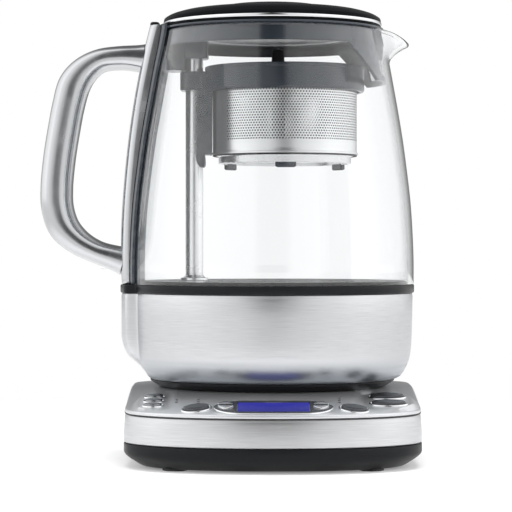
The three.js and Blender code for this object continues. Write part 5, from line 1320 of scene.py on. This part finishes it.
makePiece("lidKnob", *turned(filleted(knobProfile, steps=7)), blackPlastic, "lid", "black_plastic",
          ["lid_knob"])
linerProfile = [(0, 246.6, 0), (20, 246.6, 1), (21, 247.1, 1), (40, 247.1, 1), (41, 246.6, 1),
                (56.2, 246.6, 0), (57.2, 247.8, 1.2), (57.2, 256.5, 0.2), (55.6, 256.5, 0.2),
                (55.6, 248.2, 0.6), (0, 248.2, 0)]
makePiece("lidLiner", *turned(filleted(linerProfile)), greyPlastic, "lid", "grey_plastic", ["lid_liner"])
lidSealProfile = [(57.5, 248.8, 0.2), (58.3, 249.1, 0.2), (59.4, 249.7, 0.4), (58.6, 250.0, 0.2),
                  (59.2, 250.6, 0.3), (58.2, 251.1, 0.2), (57.5, 251.2, 0.2)]
makePiece("lidSeal", *turned(filleted(lidSealProfile, closed=True), closed=True), softRubber, "lid", "rubber",
          ["lid_seal"])

postProfile = [(0, jug["postTop"], 0), (4.6, jug["postTop"], 0.6), (5.2, 242.5, 0.6), (5.2, 108.5, 0),
               (6.4, 106.9, 0.6), (8.2, 106.8, 0.3), (8.2, 105.3, 0.2), (4.2, 105.3, 0), (4.2, 242.3, 0),
               (0, 242.3, 0)]
makePiece("liftPost", *turned(filleted(postProfile), (jug["postX"], 0), 96), plainSteel, "jug", "plain_steel",
          ["lift_post"])
print("lid and post made")

# CAD nodes that keep their own shape get a finish

nodeFinishes = {
    "control_board": circuitBoard, "socket_contact": brassContact, "power_socket": blackPlastic,
    "cord_gland": blackPlastic, "jug_plug": blackPlastic, "jug_floor": plainSteel, "floor_seal": softRubber,
    "heating_element": plainSteel, "lift_motor": plainSteel, "screw_rod": plainSteel,
    "magnet_nut": magnetGrey, "carrier_magnet": magnetGrey,
    "handle_screw_1": plainSteel, "handle_screw_2": plainSteel,
}
for number in range(1, 5):
    nodeFinishes[f"base_foot_{number}"] = softRubber
    nodeFinishes[f"base_screw_{number}"] = plainSteel
for name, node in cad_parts.items():
    material = nodeFinishes.get(name, greyPlastic)
    node.data.materials.clear()
    node.data.materials.append(material)
print("nodes finished")

# Camera, lights, floor

# lens, sensor and place in mm, pitch in degrees below level
view = {"lens": 161.72, "sensor": 36.0, "place": (-9.6, -1357.0, 126.7), "pitch": 0.3}
camera = bpy.data.objects.new("camera", bpy.data.cameras.new("camera"))
bpy.context.scene.collection.objects.link(camera)
camera.data.lens = view["lens"]
camera.data.sensor_width = view["sensor"]
camera.location = toRow([view["place"]])[0]
camera.rotation_euler = (math.radians(90 - view["pitch"]), 0, 0)
bpy.context.scene.camera = camera
bpy.context.scene.view_settings.view_transform = "Standard"

lamps = {
    # name: (place mm, aimed at mm, width m, height m, watts)
    "leftPanel": ((-900, -500, 450), (0, 0, 140), 0.7, 1.1, 9.0),
    "rightPanel": ((900, -450, 420), (0, 0, 140), 0.6, 1.1, 8.0),
    "overhead": ((0, -100, 1150), (0, 0, 100), 1.0, 0.9, 12.0),
    "frontFill": ((150, -1500, 800), (0, 0, 120), 0.8, 0.5, 4.0),
}
for name, (place, aim, width, height, watts) in lamps.items():
    lamp = bpy.data.lights.new(name, "AREA")
    lamp.shape, lamp.size, lamp.size_y, lamp.energy = "RECTANGLE", width, height, watts
    holder = bpy.data.objects.new(name, lamp)
    bpy.context.scene.collection.objects.link(holder)
    start, target = toRow([place, aim])
    holder.location = start
    holder.rotation_euler = Vector(target - start).to_track_quat("-Z", "Y").to_euler()
    # The studio itself is what gloss and glass show
    holder.visible_glossy = holder.visible_transmission = False


# Grey levels by rows of (place, level), straight between them
def colorRamp(tree, value, stops):
    node = tree.nodes.new("ShaderNodeValToRGB")
    tree.links.new(value, node.inputs["Fac"])
    while len(node.color_ramp.elements) < len(stops):
        node.color_ramp.elements.new(0.5)
    for element, (place, level) in zip(node.color_ramp.elements, stops):
        element.position = place
        element.color = (level, level, level, 1.0)
    return node.outputs["Color"]


# Floor paper: white to the camera, to gloss and through glass except where the object's shadow lies; it fades
# to plain white away from the object
paper = {"color": 0.9, "roughness": 0.9, "near": 0.17, "far": 0.55, "nearWhite": 0.25, "half": 6}
floorMaterial = bpy.data.materials.new("floorPaper")
floorMaterial.use_nodes = True
tree = floorMaterial.node_tree
shader = tree.nodes["Principled BSDF"]
shader.inputs["Base Color"].default_value = (paper["color"], paper["color"], paper["color"], 1.0)
shader.inputs["Roughness"].default_value = paper["roughness"]
shader.inputs["Specular IOR Level"].default_value = 0.0
place = tree.nodes.new("ShaderNodeTexCoord").outputs["Object"]
reach = addNode(tree, "ShaderNodeVectorMath", {0: place}, operation="LENGTH")
fade = ramp(tree, reach.outputs["Value"], paper["near"], paper["far"], paper["nearWhite"], 1.0)
path = tree.nodes.new("ShaderNodeLightPath")
seen = maths(tree, "SUBTRACT", 1.0, maths(tree, "MINIMUM", path.outputs["Diffuse Depth"], 1.0))
glow = addNode(tree, "ShaderNodeEmission", {"Color": (1.0, 1.0, 1.0, 1.0), "Strength": 1.0})
blend = addNode(tree, "ShaderNodeMixShader", {
    "Fac": maths(tree, "MULTIPLY", seen, fade), 1: shader.outputs[0], 2: glow.outputs[0]})
tree.links.new(blend.outputs[0], tree.nodes["Material Output"].inputs["Surface"])
floorMesh = bpy.data.meshes.new("floor")
half = paper["half"]
corners = [(-half, -half, 0), (half, -half, 0), (half, half, 0), (-half, half, 0)]
floorMesh.from_pydata(corners, [], [(0, 1, 2, 3)])
floorMesh.materials.append(floorMaterial)
floor = bpy.data.objects.new("floor", floorMesh)
bpy.context.scene.collection.objects.link(floor)

# Studio by direction, from the user's side (0) over the sides (0.5) to the white backdrop (1)
studio = {
    "gloss": [(0.0, 0.05), (0.007, 0.08), (0.02, 0.85), (0.1, 1.15), (0.22, 1.3), (0.36, 1.6), (0.5, 1.55),
              (0.65, 1.4), (0.82, 1.3), (0.93, 0.7), (1.0, 0.15)],
    "through": [(0.0, 0.03), (0.007, 0.05), (0.03, 0.45), (0.2, 0.7), (0.4, 1.0), (0.55, 0.85), (0.8, 0.8),
                (0.93, 1.0)],
    "diffuse": 0.6,
}
world = bpy.data.worlds.new("studio")
bpy.context.scene.world = world
world.use_nodes = True
tree = world.node_tree
background = tree.nodes["Background"]
skyward = tree.nodes.new("ShaderNodeTexCoord").outputs["Generated"]
levelled = addNode(tree, "ShaderNodeVectorMath", {0: skyward, 1: (1.0, 1.0, 0.0)}, operation="MULTIPLY")
unit = addNode(tree, "ShaderNodeVectorMath", {0: levelled.outputs[0]}, operation="NORMALIZE")
direction = addNode(tree, "ShaderNodeSeparateXYZ", {"Vector": unit.outputs[0]})
towards = ramp(tree, direction.outputs["Y"], -1.0, 1.0)
gloss, through = colorRamp(tree, towards, studio["gloss"]), colorRamp(tree, towards, studio["through"])
path = tree.nodes.new("ShaderNodeLightPath")


# The first level where the mask is 0, the second where it is 1 or more
def choose(mask, first, second):
    share = maths(tree, "MINIMUM", mask, 1.0)
    return addNode(tree, "ShaderNodeMix", {"Factor": share, "A": first, "B": second}).outputs["Result"]


# What a piece behind the glass mirrors is gloss too, so the turns of the path count and not its last leg
level = choose(path.outputs["Is Camera Ray"], through, 1.0)
level = choose(path.outputs["Glossy Depth"], level, gloss)
level = choose(path.outputs["Diffuse Depth"], level, studio["diffuse"])
tree.links.new(level, background.inputs["Strength"])
background.inputs["Color"].default_value = (1.0, 1.0, 1.0, 1.0)
print("studio made")
